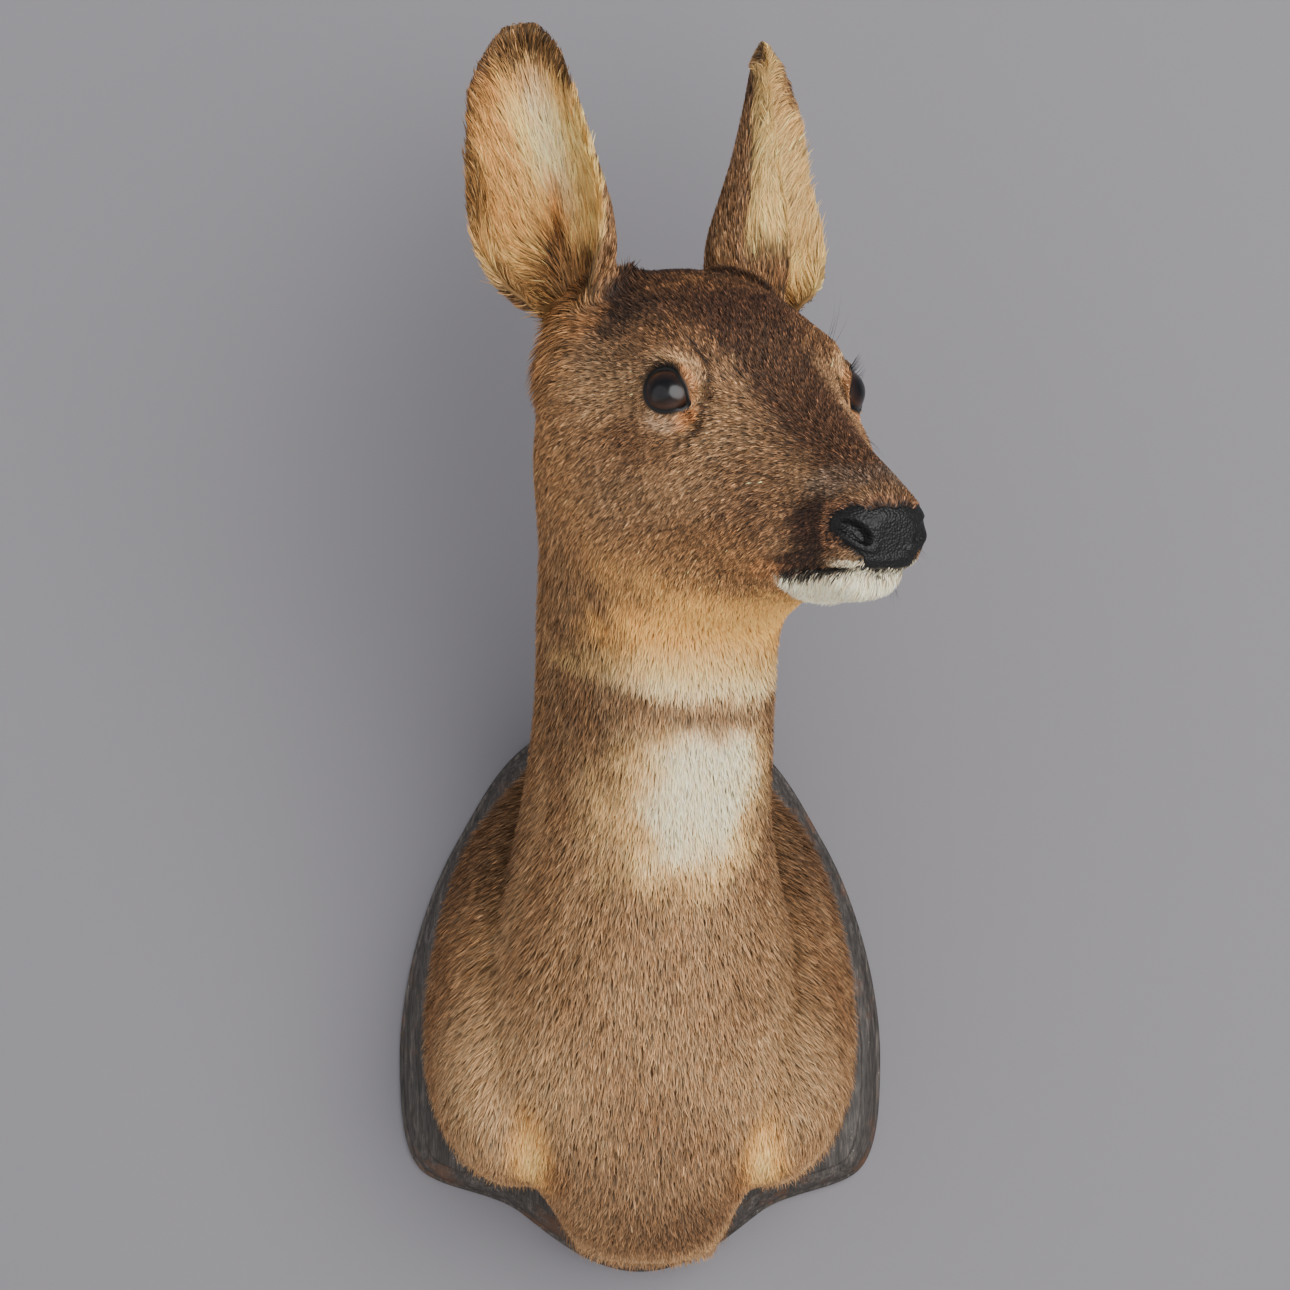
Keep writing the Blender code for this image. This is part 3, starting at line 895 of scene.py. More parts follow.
# %% Neck and chest
CHEST_SPOTS_AND_PAINTED_LIGHT = (
    # centres and radii in millimetres across, out from the wall, and up
    # painted light: the two coat_light spots lighten the fronts of the shoulders
    ("coat_light", 0.9, (-61, 120, -26), (34, 48, 34), 0.6),
    ("coat_light", 0.6, (66, 118, -26), (30, 44, 30), 0.6),
    # painted shade: coat_dark low on the brisket, where it rounds under; the ochre, cream and ginger
    # spots below it are the coat's own colour at the armpits
    ("coat_dark", 0.6, (0, 130, -88), (48, 50, 42), 0.8),
    ("ochre", 0.9, (-47, 118, -60), (9, 24, 22), 0.7),
    ("cream", 0.7, (-47, 118, -60), (5, 22, 17), 0.7),
    ("ginger", 0.6, (-36, 118, -70), (7, 20, 14), 0.5),
    ("ochre", 0.9, (54, 113, -63), (9, 24, 22), 0.7),
    ("cream", 0.7, (54, 113, -63), (5, 22, 17), 0.7),
    ("ginger", 0.6, (43, 113, -73), (7, 20, 14), 0.5),
    # more painted shade low on the brisket
    ("coat_dark", 0.75, (27, 112, -90), (26, 30, 18), 0.6),
)
NECK_SMUDGES = (
    # share, then centre and radii as degrees round the neck and millimetres up
    (0.2, (-90, 178), (20, 34)),
    (0.5, (-84, 142), (24, 26)),
)
NECK_SHADE = [("coat_dark", 0.85, (100, 120), (42, 74), 0.5)]


def paint_body(points, normals):
    x, z = points[:, 0] / MM, points[:, 2] / MM
    out = -points[:, 1] / MM
    turn = neck_turn(points, normals)
    uneven = wander(points, 0.05, 3)
    fine = wander(points, 0.016, 4)
    colour = np.tile(PAINT["coat"], (len(points), 1))
    colour = lay(colour, "coat_light", 0.25 + 0.25 * uneven)
    back = soft_step(60, 130, np.abs(turn)) * soft_step(30, 70, z)
    colour = lay(colour, "coat_warm", back * 0.7)
    sides = soft_step(52, 88, np.abs(x)) * soft_step(-60, 10, z)
    colour = lay(colour, "rust", sides * (0.65 + 0.2 * fine))
    top = soft_step(30, 62, z) * soft_step(135, 70, out) * soft_step(30, 55, np.abs(x))
    colour = lay(colour, "coat_dark", top * 0.8)
    # spots of the coat's colour, with painted light on the shoulders and painted shade on the brisket
    colour = daub(colour, np.stack([x, out, z], axis=1), CHEST_SPOTS_AND_PAINTED_LIGHT)
    # throat, band and bib
    under_jaw = soft_step(90, 58, np.abs(turn + 4) + 6 * fine) * soft_step(156, 168, z + 2 * fine)
    colour = lay(colour, "ochre", under_jaw)
    low_edge = 143 + 0.0030 * np.clip(np.abs(turn + 2) - 20, 0, 200) ** 2
    band = soft_step(-3, 4, z - low_edge + 1.5 * fine) * soft_step(100, 80, np.abs(turn + 10))
    band = band * soft_step(172, 158, z) * soft_step(130, 150, out)
    colour = lay(colour, "cream", band * 0.95)
    colour = lay(colour, "white", band * 0.4 * soft_step(160, 148, z))
    halo = soft_step(85, 35, np.abs(turn + 4)) * soft_step(62, 84, z) * soft_step(150, 140, z)
    colour = lay(colour, "coat_light", 0.6 * halo * soft_step(120, 150, out))
    brown_band = np.exp(-(((z - low_edge + 5) / 3) ** 2)) * soft_step(95, 60, np.abs(turn))
    colour = lay(colour, "coat_dark", 0.4 * brown_band * (1 + 0.4 * fine))
    bib_half = np.interp(z, [52, 66, 80, 104, 122, 134], [14, 26, 40, 52, 52, 40])
    bib_half = bib_half + 16 * soft_step(4, -24, turn)
    away = np.abs(turn - 4 + 7 * fine + 4 * uneven) / bib_half
    bib = soft_step(1.35, 0.6, away) * soft_step(138, 124, z + 3 * fine) * soft_step(50, 84, z + 4 * fine)
    bib = bib * soft_step(130, 150, out)
    colour = lay(colour, "cream", bib * 0.85)
    heart = bib * soft_step(1.0, 0.35, away) * soft_step(60, 96, z + 3 * fine)
    colour = lay(colour, "white", heart * 0.85)
    round_and_up = np.stack([turn, z], axis=1)
    for share, centre, radii in NECK_SMUDGES:
        smudge = near(round_and_up, centre, radii, 0.7)
        colour = lay(colour, "coat_dark", share * smudge * (1 + 0.4 * fine))
    return daub(colour, round_and_up, NECK_SHADE)


# %% Head
FOREHEAD_SPOTS = (
    # centres and radii in millimetres across, forward and up, on both sides alike
    ("coat_light", 0.2, (52, -31, 6), (12, 16, 14), 0.6),
    ("forehead", 0.45, (48, -22, 16), (18, 26, 18), 0.7),
    ("forehead", 0.28, (47, -14, -22), (12, 10, 22), 0.7),
    ("ginger", 0.5, (27, -4, 26), (15, 26, 20), 0.5),
    ("forehead", 0.55, (24, 58, -30), (15, 34, 22), 0.8),
    ("forehead", 0.85, (16, -18, 37), (32, 40, 22), 0.8),
)
FACE_SPOTS = (
    # round the roots of the ears
    ("forehead", 0.6, (42, -52, 46), (8, 11, 8), 0.5),
    ("ginger", 0.85, (50, -54, 34), (12, 13, 9), 0.5),
    ("tawny", 0.85, (53, -76, 30), (16, 24, 20), 0.6),
    # the muzzle's dark red-brown side
    ("face", 0.5, (26, 40, -40), (12, 22, 18), 0.6),
    ("muzzle", 0.96, (22, 83, -54), (14, 21, 14), 0.45),
    ("muzzle", 0.9, (21, 68, -67), (9, 16, 4.5), 0.4),
    ("tawny", 0.5, (26, 34, -70), (10, 16, 7), 0.5),
    ("forehead", 0.25, (32, 46, -52), (14, 26, 20), 0.8),
    ("orange", 0.2, (24, 47, -69), (8, 9, 4), 0.5),
)


def paint_head(points):
    place = on_head(points)
    even = even_sides(place)
    across, forward, up = even.T
    fine = wander(points, 0.014, 7)
    broad = wander(points, 0.04, 8)
    colour = np.tile(PAINT["face"], (len(points), 1))
    colour = lay(colour, "coat_light", 0.18 + 0.15 * broad)
    # warm edge of the cheek and the back of the head
    colour = lay(colour, "tawny", 0.75 * soft_step(-38, -75, forward + 0.2 * up))
    low_cheek = soft_step(-38, -68, up + 3 * fine) * 0.75
    colour = lay(colour, "tawny", low_cheek * soft_step(60, 40, forward))
    jaw = soft_step(-75, -84, up + 1.5 * fine) * 0.7
    colour = lay(colour, "ochre", jaw * soft_step(62, 46, forward))
    # dark forehead, bridge and crown, with ginger beside them
    colour = daub(colour, even, FOREHEAD_SPOTS)
    half = np.interp(forward, [-90, -40, -18, 8, 28, 55, 80, 100], [44, 40, 17, 19, 15, 17, 17, 20])
    heights = [30, 28, 8, -6, -20, -32, -40, -44]
    above = np.interp(forward, [-90, -20, 10, 30, 50, 70, 85, 100], heights)
    bridge = soft_step(1.65, 0.65, (across + 3 * fine) / half) * soft_step(-8, 6, up - above)
    colour = lay(colour, "forehead", bridge * 0.9)
    crown = soft_step(-6, -34, forward) * soft_step(19, 34, up + 3 * fine)
    nape = soft_step(-58, -80, forward + 4 * fine)
    colour = lay(colour, "crown", crown * 0.93 * (1 - nape))
    colour = lay(colour, "coat_dark", 0.6 * nape * soft_step(20, 40, up))
    tuft = near(even, (14, -30, 48), (20, 16, 10), 0.6)
    colour = lay(colour, "ginger", 0.45 * tuft * (0.6 + 0.4 * fine))
    return paint_face(daub(colour, even, FACE_SPOTS), even, place, fine)


def paint_face(colour, even, place, fine):
    _, forward, up = even.T
    # grey grizzle over the muzzle, and a brown border above the nose
    grizzle = near(even, (12, 84, -38), (16, 13, 5), 0.6)
    colour = lay(colour, "grey", 0.4 * grizzle * (1 + 0.5 * fine))
    leather = leather_share(place, 0.25)
    edge = leather_share(place, 3.2) * soft_step(-66, -60, up)
    colour = lay(colour, "border", 0.85 * edge)
    # lips and chin
    white_lip = soft_step(82, 90, forward) * soft_step(-67.0, -68.8, up + 0.6 * fine)
    colour = lay(colour, "white", white_lip)
    chin = soft_step(-71, -72.5, up) * soft_step(44, 56, forward + 4 * fine)
    colour = lay(colour, "white", chin)
    thick = np.interp(forward, [50, 60, 80, 94], [1.4, 2.2, 1.7, 0.6])
    dark_lip = soft_step(-69.2, -70.2, up) * soft_step(-71.6, -70.2, up + thick + 0.7 * fine)
    dark_lip = dark_lip * soft_step(49, 54, forward)
    colour = lay(colour, "black", 0.95 * dark_lip)
    colour = paint_round_eye(colour, even)
    return lay(colour, "black", leather)


LEATHER_EDGE = (
    # across, up: half the outline of the bare nose, from the middle top round to the lip
    (0, -49.0),
    (5, -48.2),
    (9.5, -49.6),
    (14, -47.4),
    (18, -49.2),
    (20.2, -54.0),
    (18.8, -59.5),
    (14.5, -63.8),
    (11.5, -66.8),
    (10.0, -70.3),
    (0, -70.8),
)


def leather_share(place, margin=0.0):
    """1 on the bare nose. A margin makes it reach further."""
    across = np.abs(place[:, 0])
    up = place[:, 2]
    centre = np.array((7.0, -58.5))
    turns = []
    reaches = []
    for edge in LEATHER_EDGE:
        away = np.array(edge) - centre
        turns.append(atan2(away[1], away[0]))
        reaches.append(np.hypot(*away))
    order = np.argsort(turns)
    turn = np.arctan2(up - centre[1], across - centre[0])
    reach = np.interp(turn, np.array(turns)[order], np.array(reaches)[order], period=2 * pi)
    away = np.hypot(across - centre[0], up - centre[1])
    inside = soft_step(0.5, -0.5, away - reach - margin)
    middle = (across < centre[0]) & (up < -49.0 + margin) & (up > -70.6 - margin)
    inside = np.where(middle, 1.0, inside)
    return inside * soft_step(87 - margin, 89 - margin, place[:, 1])


EYE_ARCS = (
    # paint and share; turns in degrees, inner and outer edge in millimetres; and fade
    ("pale", 0.5, (-125, -90, -45), (9.5, 9.5, 12.0), (12.5, 15.5, 18.0), 12),
    ("orange", 0.6, (-56, -36, -14), (10.6, 9.8, 9.0), (18.0, 18.6, 15.5), 8),
    ("brow", 0.66, (-30, 0, 45, 90, 120), (10, 8.8, 9.6, 11.2, 14.5), (11.6, 13.8, 15.2, 14.6, 16.4), 12),
    ("orange", 0.5, (-30, 0, 60), (8.5, 8.5, 8.5), (12.5, 12.0, 10.5), 10),
    ("crown", 0.7, (70, 110, 150), (8.5, 9.0, 9.0), (10.4, 13.4, 10.6), 14),
)


def arc_share(ring, turn, turns, inner, outer, fade):
    """1 in a band round the eye, between two edges that change with the turn."""
    band = soft_step(-0.7, 0.7, ring - np.interp(turn, turns, inner))
    band = band * soft_step(0.8, -0.8, ring - np.interp(turn, turns, outer))
    band = band * soft_step(turns[0] - fade, turns[0] + fade, turn)
    return band * soft_step(turns[-1] + fade, turns[-1] - fade, turn)


def paint_round_eye(colour, even):
    """The cream brow, the orange corner, and the pale hair below the lower lid."""
    ring, turn = eye_rings(head_points_to_world(even), 1)
    for name, share, *arc in EYE_ARCS:
        colour = lay(colour, name, share * arc_share(ring, turn, *arc))
    return colour


def head_points_to_world(place):
    return BETWEEN_EYES + (place @ HEAD_AXES) * MM


RIM_WIDTH = 0.85  # of the lids' bare rim, in millimetres
CORNER_WIDTH = 1.3  # how much wider it is at the eye's front corner


def lid_rim_share(points):
    """1 on the bare black rim of the lids; and, apart, 1 along the fold before the eye, where a dark line
    of painted shadow lies in its crease.
    """
    share = np.zeros(len(points))
    fold_shade = np.zeros(len(points))
    for side in SIDES:
        from_edge, turn, radius = eye_polar(points, side)
        close = radius < 20
        broad = RIM_WIDTH + CORNER_WIDTH * np.exp(-(((turn - CORNER_WAY) / 0.25) ** 2))
        share = np.maximum(share, close * soft_step(broad + 0.3, broad - 0.3, from_edge))
        _, beyond, along = fold_share(points, side, 1.0)
        # where the painted shadow lies in the fold's crease
        fold_shade = np.maximum(fold_shade, along * np.exp(-(((beyond - 0.9) / 1.6) ** 2)))
    return share, fold_shade


# %% Ears
# how far cream hair curls over an ear's inner edge, in millimetres, at its root and tip
WRAP = {1: (20.0, 8.0), -1: (0.5, 0.5)}


def solid_ear(side):
    """The places on the ear of the solid's points."""
    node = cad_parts["ear_left" if side == 1 else "ear_right"]
    return ear_place(np.array([vert.co for vert in node.data.vertices]), side)


def inner_edge_out(side):
    """How far the ear's inner edge stands forward, by share of its length."""
    height, beside, out = solid_ear(side)
    steps = np.linspace(0.05, 0.95, 7)
    inner = beside < 0
    reach = [out[inner & (np.abs(height - step) < 0.1)].max(initial=0) for step in steps]
    return steps, np.array(reach)


def outer_edge_beside(side):
    """How far out to the side the ear's outer edge is, by share of its length."""
    height, beside, _ = solid_ear(side)
    steps = np.linspace(0.05, 1.0, 14)
    reach = np.array([beside[np.abs(height - step) < 0.05].max(initial=0) for step in steps])
    reach = reach * (1 + TIP_FILL[side] * soft_step(0.5, 0.88, steps))
    return steps, reach + max(TIP_LEAN[side], 0) * soft_step(0.5, 0.85, steps)


INNER_EDGE = {side: inner_edge_out(side) for side in SIDES}
OUTER_EDGE = {side: outer_edge_beside(side) for side in SIDES}


def ear_inside_share(points, normals, side):
    """1 on the inner face of an ear's leaf, 0 on its back."""
    base, rise, opening, _ = EARS[side]
    height, beside, out = ear_place(points, side)
    axis = base + np.outer(height * EAR_LENGTH * MM, rise) + opening * 6 * MM
    inwards = unit(axis - points)
    facing = (normals * inwards).sum(axis=1)
    facing_out = normals @ opening
    inside = soft_step(-0.12, 0.12, facing * 0.6 + facing_out * 0.5)
    behind_edge = np.interp(height, *INNER_EDGE[side]) - out
    wrap = np.interp(height, (0.2, 0.85), WRAP[side])
    wrapped = soft_step(1, -1, behind_edge - wrap) * (beside < 0)
    inside = np.maximum(inside, wrapped * soft_step(0.06, 0.2, height))
    at_tip = soft_step(0.8, 0.9, height) * soft_step(-6, -3, beside) * (side == 1)
    return np.maximum(inside, at_tip)


EAR_PAINT = {
    # each side's shares of ochre at the tip and the outer edge, of grey and of dark rim,
    # and the heights between which the brown root ends
    1: (0.35, 0.35, 0.24, 0.0, (0.17, 0.08)),
    -1: (0.75, 0.8, 0.0, 0.85, (0.24, 0.13)),
}
# painted highlight: a white stripe down the middle of the ear's inner face
EAR_HIGHLIGHT_STRIPE = [("white", 0.45, (66, -4), (26, 6), 0.7)]
EAR_SLITS = (
    ("ear_ochre", 0.9, (32, 4), (17, 3.4), 0.6),
    # painted shade: dark brown in the deep hollow at the foot of the slit
    ("ear_hollow_shade", 0.9, (24, 4.2), (9, 3.4), 0.6),
)
SLIT_SLANT = 0.22


def paint_ear(points, normals):
    colour = np.tile(PAINT["ear_back"], (len(points), 1))
    fine = wander(points, 0.012, 11)
    for side in SIDES:
        height, beside, out = ear_place(points, side)
        mine = np.sign(on_head(points)[:, 0]) == side
        inside = ear_inside_share(points, normals, side)
        tint = np.tile(PAINT["ear_back"], (len(points), 1))
        tint = lay(tint, "ginger", 0.6 * soft_step(0.22, 0.0, height))
        low_back = soft_step(0.3, 0.2, height) * soft_step(0.1, 0.16, height)
        low_back = low_back * soft_step(8, 13, beside)
        tint = lay(tint, "ear_inside", 0.6 * low_back * soft_step(-6, 0, out))
        tint = lay(tint, "ear_rim", 0.6 * soft_step(0.55, 0.95, height + 0.05 * fine))
        at_tip, at_edge, greyed, dark_rim, root_ends = EAR_PAINT[side]
        inner = np.tile(PAINT["ear_inside"], (len(points), 1))
        ochre = np.exp(-(((beside - 2) / 10) ** 2)) * soft_step(0.58, 0.25, height + 0.06 * fine)
        inner = lay(inner, "ear_ochre", 0.8 * ochre)
        inner = lay(inner, "ear_ochre", at_tip * soft_step(0.55, 0.8, height + 0.04 * fine))
        outer_ochre = at_edge * soft_step(3, 13, beside + 2 * fine)
        inner = lay(inner, "ear_ochre", outer_ochre * soft_step(0.1, 0.3, height))
        inner = lay(inner, "grey", greyed * soft_step(0.1, 0.4, height))
        length = height * EAR_LENGTH
        inner = daub(inner, np.stack([length, beside], axis=1), EAR_HIGHLIGHT_STRIPE)
        to_edge = np.clip(np.abs(beside - 1) / 13, 0, 1.5) ** 2
        rim = soft_step(0.80, 0.90, height + 0.06 * to_edge + 0.035 * fine)
        inner_ochre = 0.15 * soft_step(-6, -13, beside)
        inner = lay(inner, "ear_ochre", inner_ochre * soft_step(0.6, 0.3, height))
        from_rim = np.interp(height, *OUTER_EDGE[side]) - beside
        outer_rim = soft_step(9, 4, from_rim + 2 * fine) * soft_step(0.22, 0.42, height)
        inner = lay(inner, "ear_rim", dark_rim * np.maximum(rim, 0.85 * outer_rim))
        slanted = beside + SLIT_SLANT * (length - 20)
        inner = daub(inner, np.stack([length, slanted], axis=1), EAR_SLITS)
        root = soft_step(*root_ends, height + 0.02 * fine)
        inner = lay(inner, "tawny", 0.85 * root)
        hollow = 0.65 * soft_step(0.2, 0.08, height + 0.02 * fine)
        inner = lay(inner, "crown", hollow * soft_step(-3, -10, beside))
        tint = tint + inside[:, None] * (inner - tint)
        colour = np.where(mine[:, None], tint, colour)
    return colour


# %% All markings, with the painted light and shade, together
def markings_and_painted_light(points, normals, head, ear, with_rims=True):
    """The coat's colour at each point, painted light and shade included. The lids' bare rims belong to
    the skin alone.
    """
    colour = paint_body(points, normals)
    colour = colour + head[:, None] * (paint_head(points) - colour)
    if (ear > 0).any():
        colour = colour + ear[:, None] * (paint_ear(points, normals) - colour)
    rim, fold_shade = lid_rim_share(points)
    # painted shadow: a dark line along the crease of the fold before each eye
    colour = lay(colour, "crown", 0.95 * fold_shade * head)
    if with_rims:
        colour = lay(colour, "lid", rim)
    return colour


def bare_share(points):
    """1 where no hair grows: nose leather, lid rims and the slit of the mouth."""
    place = on_head(points)
    rim, _ = lid_rim_share(points)
    bare = np.maximum(leather_share(place, -0.5), rim)
    return np.maximum(bare, soft_step(0.75, 0.95, mouth_share(place)))


points = points_of(skin_mesh)
normals = normals_of(skin_mesh)
head = head_share(points)
ear = ear_share(points)
colour = markings_and_painted_light(points, normals, head, ear)
bare = bare_share(points)


def write_colour(mesh, name, colour):
    layer = mesh.color_attributes.new(name, "FLOAT_COLOR", "POINT")
    flat = np.ones((len(colour), 4), np.float32)
    flat[:, :3] = colour
    layer.data.foreach_set("color", flat.ravel())


def write_value(mesh, name, value):
    layer = mesh.attributes.new(name, "FLOAT", "POINT")
    layer.data.foreach_set("value", np.asarray(value, np.float32))


write_colour(skin_mesh, "marking_and_painted_light", colour)
write_value(skin_mesh, "bare", bare)
print(f"skin painted; {(bare > 0.5).sum()} points of it are bare")

# %% [markdown]
# ## The lie of the coat
#
# Hair grows away from the nose, over the face and back to the neck, then down the neck
# and out over the shoulders. At each point of the skin a direction is worked out, and
# a tuft's line is walked along it over the surface, so that long tufts bend with the
# body and don't stand off it.


# %% Direction of growth
STREAM_RADIUS = 10.8
# places in front of and below the ear where the hair hangs or stands up: centre, radii
# and softness, on both sides of the head alike
HANGING = (50, -82, 25), (16, 26, 24), 0.6
TUFTED = (50, -82, 27), (15, 24, 19), 0.7
CREST = (31, -60, 50), (13, 18, 12), 0.6


def round_the_eye(way, points, side):
    """Hair parts before the eye and runs on round it, as a stream does round a stone."""
    away = (points - EYES[side]) / MM
    close = soft_step(40, 28, np.linalg.norm(away, axis=1))
    away = away - np.outer(away @ GAZE[side], GAZE[side])
    radius = np.linalg.norm(away, axis=1)
    out = unit(away)
    share = (np.minimum(1.15, (STREAM_RADIUS / np.maximum(radius, 1)) ** 2) * close)[:, None]
    against = (way * out).sum(axis=1)[:, None]
    return way * (1 + share) - 2 * share * against * out + 0.35 * share * out


def comb(points, normals, head, ear):
    """Unit directions along the surface in which the hair grows."""
    x, z = points[:, 0] / MM, points[:, 2] / MM
    side = np.sign(x)
    # down the neck and chest, outwards over the shoulders, and back beneath the brisket
    outward = 0.55 * soft_step(25, 95, np.abs(x)) * soft_step(-70, -10, z) * soft_step(150, 90, z)
    body = np.stack([side * outward, 0.25 + 0 * x, -np.ones_like(x)], axis=1)
    beneath = soft_step(0.35, 0.9, -normals[:, 2])[:, None]
    body = unit(body) * (1 - beneath) + np.array((0, 1, -0.2)) * beneath
    # over the face it runs back, and falls on the cheeks and under the jaw
    place = on_head(points)
    across, forward, up = place.T
    fall = 0.15 + 0.55 * soft_step(10, 40, np.abs(across)) * soft_step(15, -25, up)
    fall = fall + 0.8 * soft_step(-66, -74, up)
    fall = fall - 0.5 * soft_step(-5, 25, up) * soft_step(-60, -20, forward)
    face = -FORWARD - fall[:, None] * UP
    # round the roots of the ears it hangs or stands up
    even = even_sides(place)
    hanging = near(even, *HANGING)[:, None]
    outwards = np.sign(across)[:, None] * ACROSS
    face = face * (1 - hanging) + hanging * (0.6 * outwards - 0.6 * UP - 0.6 * FORWARD)
    rising = near(even, *CREST)[:, None]
    face = face * (1 - rising) + rising * (0.8 * UP - 0.7 * FORWARD + 0.4 * outwards)
    nape = soft_step(-60, -110, forward)[:, None]
    face = unit(face - nape * UP * 0.8)
    for one in SIDES:
        face = round_the_eye(face, points, one)
    way = unit(body) * (1 - head[:, None]) + unit(face) * head[:, None]
    # up the ears, it fans out to their edges on the inner side
    for one in SIDES:
        _, rise, _, outer = EARS[one]
        mine = (np.sign(across) == one) & (ear > 0)
        height, beside, _ = ear_place(points[mine], one)
        inside = ear_inside_share(points[mine], normals[mine], one)[:, None]
        near_tip = 1 + 0.9 * soft_step(0.7, 0.85, height)
        spread = (np.clip(beside / 18 * near_tip, -1.4, 1.5))[:, None] * inside * 0.8
        lobe = (soft_step(0.34, 0.08, height) * soft_step(2, 12, beside))[:, None]
        ear_way = rise * (1 - 1.5 * lobe) + (spread + 0.9 * lobe) * outer
        share = ear[mine][:, None]
        way[mine] = way[mine] * (1 - share) + unit(ear_way) * share
    way = way - normals * (way * normals).sum(axis=1, keepdims=True)
    return unit(way)


# %% How long, wide and dense the hair is
HAIR = {
    # length and width of a tuft in millimetres, tufts in a square centimetre, and how
    # much further than the coat's usual depth its tip lifts, in millimetres
    "muzzle": (2.5, 0.36, 420, 0),
    "face": (3.6, 0.44, 290, 0),
    "crown": (5.8, 0.52, 200, 0),
    "neck": (6.2, 0.56, 124, 0),
    "chest": (6.8, 0.6, 112, 0),
    "ear_back": (5.0, 0.44, 150, 0.2),
    "ear_inside": (14.0, 0.44, 108, 1.0),
}


def hair_at(points, normals, head, ear):
    place = on_head(points)
    muzzle = soft_step(48, 88, place[:, 1])[:, None]
    face = soft_step(-75, -15, place[:, 1])[:, None]
    low = soft_step(0.13, 0.05, points[:, 2])[:, None]
    kind = {name: np.array(size, float) for name, size in HAIR.items()}
    on_the_head = kind["crown"] + face * (kind["face"] - kind["crown"])
    on_the_head = on_the_head + muzzle * (kind["muzzle"] - on_the_head)
    below = kind["neck"] + low * (kind["chest"] - kind["neck"])
    size = below + head[:, None] * (on_the_head - below)
    for side in SIDES:
        mine = (ear > 0) & (np.sign(place[:, 0]) == side)
        inside = ear_inside_share(points[mine], normals[mine], side)[:, None]
        of_ear = kind["ear_back"] + inside * (kind["ear_inside"] - kind["ear_back"])
        height, beside, _ = ear_place(points[mine], side)
        of_ear[:, 0] *= 1 - 0.4 * soft_step(0.75, 0.95, height) * inside[:, 0]
        lobe = soft_step(0.3, 0.1, height) * soft_step(3, 10, beside)
        of_ear[:, [0, 3]] += np.outer(lobe, (2, 1.2))
        size[mine] += ear[mine, None] * (of_ear - size[mine])
    chin = soft_step(-71, -74, place[:, 2]) * soft_step(46, 56, place[:, 1]) * head
    fringe = soft_step(-52 * MM, -28 * MM, points[:, 1]) * (1 - head)
    fringe *= 1 - 0.6 * soft_step(-70 * MM, -40 * MM, points[:, 2])
    even = even_sides(place)
    longer = {
        # share, and how much longer the hair is and how much higher its tip lifts
        "chin": (chin, 4.4, 1.6),
        "fringe": (fringe, 3.5, 3.6),
        "tufted": (near(even, *TUFTED) * (1 - ear), 7, 4.2),
        "crest": (near(even, *CREST) * (1 - ear), 7, 4.0),
    }
    for share, length, lift in longer.values():
        size[:, [0, 3]] += np.outer(share, (length, lift))
    return size


STEPS = 3  # along a tuft's line
skin_tree = tree_of(skin_mesh)
way = comb(points, normals, head, ear)
hair = hair_at(points, normals, head, ear)


def walk(points, way, length):
    """Offsets from each point to the places that its hair reaches, and normals there."""
    here = points.copy()
    direction = way.copy()
    offsets = []
    facing = []
    for _ in range(STEPS):
        ahead = here + direction * (length / STEPS * MM)[:, None]
        found = [skin_tree.find_nearest(point) for point in ahead]
        here = np.array([hit[0] for hit in found])
        normal = np.array([hit[1] for hit in found])
        direction = unit(direction - normal * (direction * normal).sum(axis=1, keepdims=True))
        offsets.append(here - points)
        facing.append(normal)
    return offsets, facing


offsets, facing = walk(points, way, hair[:, 0])
edges = edges_of(skin_mesh)
for _ in range(3):
    offsets = [0.5 * one + 0.5 * neighbour_mean(one, edges) for one in offsets]
    facing = [unit(0.5 * one + 0.5 * neighbour_mean(one, edges)) for one in facing]
print("lie of the coat worked out")

# %% [markdown]
# ## The tufts
#
# A tuft is a thin tapered blade of a few triangles that starts in the skin and ends in
# a point. Its root is dark and its tip light. Roots are scattered over the skin by
# area, and each tuft takes its line, length and colour from where its root is.

# %% Scatter roots
triangles = read(skin_mesh.polygons, "vertices", 3, int)
loops_uv = read(skin_mesh.uv_layers["OFBake"].data, "uv", 2).reshape(-1, 3, 2)


LID_RING = 5.8  # width of the lids' own ring, below which the skin grows no hair
BOARD_FACE = -18.6 * MM  # the skin behind this place lies on the board


def growth(points):
    """Share of the full density at each point of the skin."""
    share = 1 - soft_step(0.1, 0.4, bare)
    for side in SIDES:
        from_edge, _, radius = eye_polar(points, side)
        below = (from_edge < LID_RING) & (radius < 24)
        under_ring = (np.arange(len(points)) < skin_count) & below
        share = np.where(under_ring, 0, share)
    against_board = (points[:, 1] > BOARD_FACE) & (normals[:, 1] > 0.7)
    return np.where(against_board, 0, share)


def scatter(random, density):
    """Triangle and barycentric place of each root. density is by point, per square metre."""
    corners = points[triangles]
    cross = np.cross(corners[:, 1] - corners[:, 0], corners[:, 2] - corners[:, 0])
    area = np.linalg.norm(cross, axis=1) / 2
    wanted = area * density[triangles].mean(axis=1)
    running = np.cumsum(wanted)
    count = int(running[-1])
    marks = (np.arange(count) + random.uniform(0, 1, count)) / count * running[-1]
    chosen = np.minimum(np.searchsorted(running, marks), len(triangles) - 1)
    one, two = random.uniform(0, 1, (2, count))
    root = np.sqrt(one)
    weights = np.stack([1 - root, root * (1 - two), root * two], axis=1)
    return chosen, weights


def at_roots(values, chosen, weights):
    corner = values[triangles[chosen]]
    if values.ndim == 1:
        return (corner * weights).sum(axis=1)
    return (corner * weights[:, :, None]).sum(axis=1)


